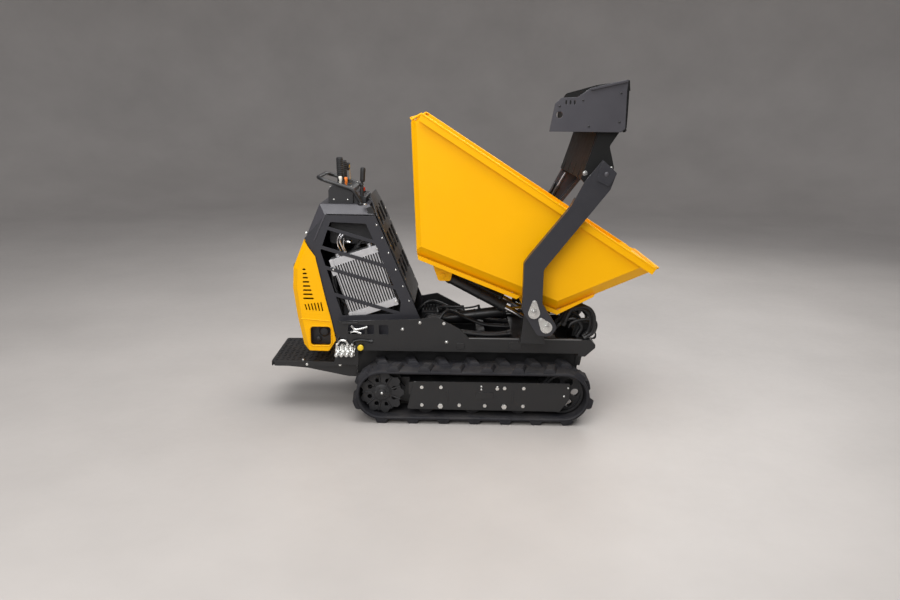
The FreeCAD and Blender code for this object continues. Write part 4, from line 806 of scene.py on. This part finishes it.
def lever_details():
    """Bellows at the foot of each lever, ribbed grips and coloured knobs."""
    sticks = (("right_drive_stick", -640, -68, 1213, -4), ("left_drive_stick", -640, 68, 1190, -4))
    for body, x, y, top, lean in sticks:
        grip = Piece()
        axis = Vector((lean, 0, top - 1084))
        profile = [(0, 13)]
        for k in range(9):
            profile += [(4 + 9 * k, 16.5), (8 + 9 * k, 16.5), (9 + 9 * k, 15.2), (12 + 9 * k, 15.2)]
        profile += [(86, 15), (88, 10)]
        start = Vector((x + lean, y, top)) - axis.normalized() * 86
        grip.lathe(start, axis, profile)
        grip.done(body + "_grip", body, "grip")
    boots = (("right_drive_stick", -640, -68, 14), ("left_drive_stick", -640, 68, 14),
             ("throttle_stick", -603, 0, 12), ("arm_stick", -640, -112, 9),
             ("shovel_stick", -614, -112, 9), ("skip_stick", -535, -110, 10))
    for body, x, y, radius in boots:
        boot = Piece()
        profile = []
        for k in range(4):
            shrink = 1 - 0.17 * k
            profile += [(5 * k, radius * shrink), (5 * k + 2.5, radius * (shrink - 0.16))]
        boot.lathe((x, y, BOOT_FOOT), (0, 0, 1), profile)
        boot.done(body + "_boot", body, "grip")
    knobs = (("arm_stick", -636, -112, 1126, "white"), ("shovel_stick", -610, -112, 1122, "orange"),
             ("throttle_stick", -612, 0, 1182, "grip"))
    for body, x, y, top, finish in knobs:
        knob = Piece()
        knob.lathe((x, y, top - 34), (0, 0, 1),
                   ((0, 6), (10, 7.5), (12, 8.5), (34, 8.5), (36, 7.5), (37.5, 4)))
        knob.done(body + "_knob", body, finish)
    grip = Piece()
    grip.lathe((-532, -110, 1104), (0.05, 0, 1), ((0, 8), (4, 11), (14, 11.5), (40, 11.5), (58, 12.5),
                                                  (66, 10), (68, 4)))
    grip.done("skip_stick_grip", "skip_stick", "grip")


def console_details():
    """Switches and slots on the console, its screws, and the feet of the grab bar."""
    top = Piece()
    for x, y, radius in ((-668, -20, 15), (-668, -62, 9), (-668, 62, 9)):
        top.lathe((x, y, 1081), (0, 0, 1), ((0, radius + 2), (3, radius + 2), (4, radius), (4.5, radius - 3)))
    top.prism(panel(-632, 1082, 96, 4, corner=2), -128.0, 128.0)
    for y in (-50, -36):
        top.prism(panel(-604, 1085, 8, 8, corner=2), y - 5.0, y + 5.0)
    top.lathe((-546, 20, 1049), (0, 0, 1), ((-6, 17), (0, 17), (1, 15)))
    top.done("console_switches", "machine", "plastic")
    bolts = Piece()
    for x in (-682, -584):
        for y in (-120, 120):
            bolts.dome((x, y, 1083 if x > -600 else 1080), (0, 0, 1), 3.5)
    for side in (RIGHT, LEFT):
        for x in (-664, -600):
            bolts.dome((x, side * 132, 1022), (0, side, 0), 4.5)
    bolts.done("console_screws", "machine", "zinc")
    feet = Piece()
    for y in (-148, 148):
        feet.lathe((-536, y, 1003), (0, 0, 1), ((0, 20), (3, 20), (5, 13), (9, 12)))
    feet.done("bar_feet", "machine", "black")


# ---------------------------------------------------------------- skip

SILL_OUTLINES = (((-266, 790), (214, 602), (196, 588), (-262, 768)),
                 ((322, 562), (386, 537), (560, 618), (552, 604), (386, 516), (330, 538)))


def skip_details():
    """Rolled edge round the skip's mouth and the weld beads along its seams."""
    bead = Piece()
    for side in (RIGHT, LEFT):
        bead.tube(((-246, side * 318, 1420), (822, side * 318, 749)), 5.0, steps=1)
        bead.tube(((-295, side * 298, 1395), (-246, side * 300, 1423)), 5.0, steps=1)
    bead.tube(((-296, -276, 1402), (-296, 276, 1402)), 6.0, steps=1)
    bead.tube(((848, -248, 741), (848, 248, 741)), 6.0, steps=1)
    bead.done("skip_edge", "skip", "yellow")
    sill = Piece()
    for side in (RIGHT, LEFT):
        for outline in SILL_OUTLINES:
            sill.prism(outline, *sorted((side * 262, side * 276)))
    sill.done("skip_sill", "skip", "yellow")
    welds = Piece()
    for side in (RIGHT, LEFT):
        for y in (148, 176):
            welds.tube(((196, side * y, 612), (342, side * y, 554)), 3.0, steps=1)
        for y in (100 - 39, 100 + 39):
            welds.tube(((-214, side * y, 762), (-96, side * y, 716)), 3.0, steps=1)
    welds.done("skip_welds", "skip", "yellow")


# ---------------------------------------------------------------- cylinders

def along_line(start, end, distance):
    direction = Vector((end[0] - start[0], 0, end[1] - start[1])).normalized()
    return Vector((start[0], 0, start[1])) + direction * distance, direction


def cylinder_details(name, body, start, end, y, radius, length, hose_side, head_port=42):
    """Gland, end cap, ports and a clipped hard line on one barrel."""
    metal = Piece()
    head, axis = along_line(start, end, length)
    offset = Vector((0, y, 0))
    for back in (30, 16):
        metal.collar(head + offset - axis * back, axis, 13, radius - 1, radius + 3.5)
    foot, _ = along_line(start, end, 34)
    metal.collar(foot + offset, axis, 16, radius - 1, radius + 2.5)
    up = axis.cross(Vector((0, 1, 0)))
    if up.z < 0:
        up = -up
    ports = []
    for distance in (48, length - head_port):
        port, _ = along_line(start, end, distance)
        base = port + offset + up * (radius - 2)
        metal.lathe(base, up, ((0, 8), (8, 8), (9, 6.5), (14, 6.5)), 6)
        ports.append(base + up * 12)
    metal.done(name + "_gland", body, "black")
    line = Piece()
    side = Vector((0, hose_side * 10, 0))
    line.tube((ports[1], ports[1] + up * 6 + side * 0.5, ports[1] - axis * 30 + side,
               ports[0] + axis * 90 + side, ports[0] + axis * 40 + side * 1.6), 4.5)
    line.hose((ports[0], ports[0] + up * 20 + side, ports[0] + axis * 60 + up * 14 + side * 2,
               ports[0] + axis * 130 + up * 4 + side * 2), 6.0)
    clip, _ = along_line(start, end, length * 0.6)
    line.collar(clip + offset - axis * 6, axis, 12, radius - 1, radius + 1.5)
    line.done(name + "_line", body, "hose")


def all_cylinders():
    """Both dump cylinders and the lift cylinder."""
    for side_name, side in SIDES.items():
        cylinder_details(side_name + "_dump", "dump_barrels", DUMP_TOP_MM, DUMP_BASE_MM, side * 100, 25, 343,
                         side)
    cylinder_details("lift", "lift_barrel", LIFT_BASE_MM, LIFT_CRANK_MM, 0, 27, 385, 1, head_port=130)


# ---------------------------------------------------------------- loader

def arm_details(side_name, side):
    """Lighter grey strips along the edges, pin ends and bolts of one loader arm, and the hoses along its
    inner face.
    """
    piece = Piece()
    piece.lathe((SHOVEL_X, side * 385, SHOVEL_Z), (0, side, 0), ((-8, 27), (0, 27), (1, 24), (2, 16)))
    piece.tube(((222, side * 381, 776), (412, side * 381, 1031), (466, side * 381, 1140)), 2.5, steps=2)
    piece.tube(((300, side * 381, 752), (576, side * 381, 1110)), 2.5, steps=1)
    piece.dome((SHOVEL_X, side * 387, SHOVEL_Z), (0, side, 0), 13)
    piece.done(side_name + "_arm_edges", "arms", "cap")
    steel = Piece()
    for x, z in ((MAIN_X, MAIN_Z), (326, 485)):
        steel.lathe((x, side * 391, z), (0, side, 0), ((0, 20), (1.5, 20), (2, 13), (4, 12), (4.6, 9)))
    for x, z in ((576, 1206), (536, 1160)):
        steel.bolt((x, side * 388, z), (0, side, 0), 4.5)
    steel.done(side_name + "_arm_steel", "arms", "zinc")
    hoses = Piece()
    inner = side * 340
    for k in range(2):
        shift = 14 * k
        hoses.hose(((250 + shift, inner, 600), (250 + shift, inner, 690), (258 + shift, inner, 780),
                    (320 + shift, inner, 860), (392 + shift, inner, 960)), 6.0)
    hoses.done(side_name + "_arm_hoses", "arms", "hose")


def shovel_details():
    """Cutting edge, rims, ribs and bolts of the shovel and its side guard."""
    edge = Piece()
    edge.prism(((433, 1360), (440, 1360), (446, 1468), (439, 1468)), -370.0, 370.0)
    edge.tube(((632, -366, 1366), (632, 366, 1366)), 5.0, steps=1)
    for side in (RIGHT, LEFT):
        edge.tube(((620, side * 368, 1361), (632, side * 368, 1378), (634, side * 368, 1568)), 4.0, steps=3)
        edge.tube(((470, side * 334, 1190), (565, side * 334, 1295), (572, side * 334, 1350)), 4.0, steps=3)
        edge.tube(((520, side * 340, 1357), (610, side * 340, 1357)), 4.0, steps=1)
    for y in (-240, -80, 80, 240):
        edge.prism(((452, 1154), (524, 1352), (530, 1350), (458, 1152)), y - 4.0, y + 4.0)
    edge.done("shovel_welds", "scoop", "shovel")
    lower = Piece()
    for side in (RIGHT, LEFT):
        lower.bolt((472, side * 342, 1178), (0, side, 0), 8)
    lower.done("carrier_bolts", "scoop", "zinc")
    bolts = Piece()
    for x, z in ((342, 1462), (470, 1380), (600, 1400), (600, 1520), (440, 1488)):
        bolts.dome((x, -385, z), (0, -1, 0), 5.0)
    bolts.done("guard_bolts", "scoop", "black")


# ---------------------------------------------------------------- stage

def area_light(name, place, size, power, aim):
    light = bpy.data.lights.new(name, "AREA")
    light.shape = "RECTANGLE"
    light.size, light.size_y = size
    light.energy = power
    thing = bpy.data.objects.new(name, light)
    bpy.context.scene.collection.objects.link(thing)
    thing.location = place
    thing.rotation_mode = "QUATERNION"
    thing.rotation_quaternion = (Vector(aim) - Vector(place)).to_track_quat("-Z", "Y")


FLOOR_RADIUS = 8.0
CURVE_RADIUS = 4.0
WALL_TOP = 9.0
BOWL_SIDES = 96


def floor():
    """Pale studio floor that curves up into a wall all round."""
    profile = [(0.01, 0.0), (FLOOR_RADIUS, 0.0)]
    for k in range(1, 13):
        angle = math.radians(7.5 * k)
        profile.append((FLOOR_RADIUS + CURVE_RADIUS * math.sin(angle), CURVE_RADIUS * (1 - math.cos(angle))))
    profile.append((FLOOR_RADIUS + CURVE_RADIUS, WALL_TOP))
    corners, faces = [], []
    for radius, height in profile:
        for k in range(BOWL_SIDES):
            angle = 2 * math.pi * k / BOWL_SIDES
            corners.append((radius * math.cos(angle), radius * math.sin(angle), height))
    for ring in range(len(profile) - 1):
        for k in range(BOWL_SIDES):
            after = (k + 1) % BOWL_SIDES
            first, second = ring * BOWL_SIDES, (ring + 1) * BOWL_SIDES
            faces.append((first + k, first + after, second + after, second + k))
    mesh = bpy.data.meshes.new("floor")
    mesh.from_pydata(corners, [], faces)
    mesh.shade_smooth()
    thing = bpy.data.objects.new("floor", mesh)
    bpy.context.scene.collection.objects.link(thing)
    thing.location.z = -0.0005
    concrete = surface("floor_concrete", (0.47, 0.44, 0.415), 0.50, shade=0.07, shade_scale=0.9, grain=0.12,
                       grain_scale=160.0, corner=0.0005)
    mesh.materials.append(concrete)


def world_light():
    world = bpy.data.worlds.new("studio")
    bpy.context.scene.world = world
    world.use_nodes = True
    background = world.node_tree.nodes["Background"]
    background.inputs["Color"].default_value = (0.92, 0.94, 1.0, 1.0)
    background.inputs["Strength"].default_value = 0.40


SENSOR_WIDTH = 36.0
LENS = 32.0
CAMERA_PLACE = (-0.1128, -3.89, 1.456)      # from the ground under the middle of the tracks
CAMERA_PITCH = 13.627
CAMERA_ROLL = 0.015


def camera():
    data = bpy.data.cameras.new("camera")
    data.sensor_width = SENSOR_WIDTH
    data.lens = LENS
    thing = bpy.data.objects.new("camera", data)
    bpy.context.scene.collection.objects.link(thing)
    pitch = math.radians(CAMERA_PITCH)
    turn = Matrix.Rotation(math.pi / 2 - pitch, 4, "X") @ Matrix.Rotation(CAMERA_ROLL, 4, "Z")
    x, y, z = CAMERA_PLACE
    thing.matrix_world = Matrix.Translation((TRACK_CENTRE + x, y, z)) @ turn
    bpy.context.scene.camera = thing


def stage():
    floor()
    world_light()
    area_light("overhead", (0.3, -0.6, 4.2), (5.0, 3.5), 190.0, (0, 0, 0.4))
    area_light("front", (-1.5, -4.5, 3.0), (3.5, 2.5), 150.0, (0, 0, 0.6))
    area_light("back", (2.0, 4.0, 3.0), (3.5, 2.0), 60.0, (0, 0, 0.8))
    camera()
    bpy.context.scene.view_settings.view_transform = "Standard"


# ---------------------------------------------------------------- whole machine

paint_nodes()
for each_name, each_side in SIDES.items():
    track_belt(each_name, each_side)
    wheel_details(each_name, each_side)
    frame_details(each_name, each_side)
    arm_details(each_name, each_side)
chassis_hoses()
chassis_details()
couplers()
step_tread()
cooler()
pipe_loops()
engine_details()
tower_bolts()
front_plate_flanges()
tower_latch()
tower_rear_wall()
tower_shade_sheet()
cover_details()
lever_details()
console_details()
skip_details()
all_cylinders()
shovel_details()
stage()
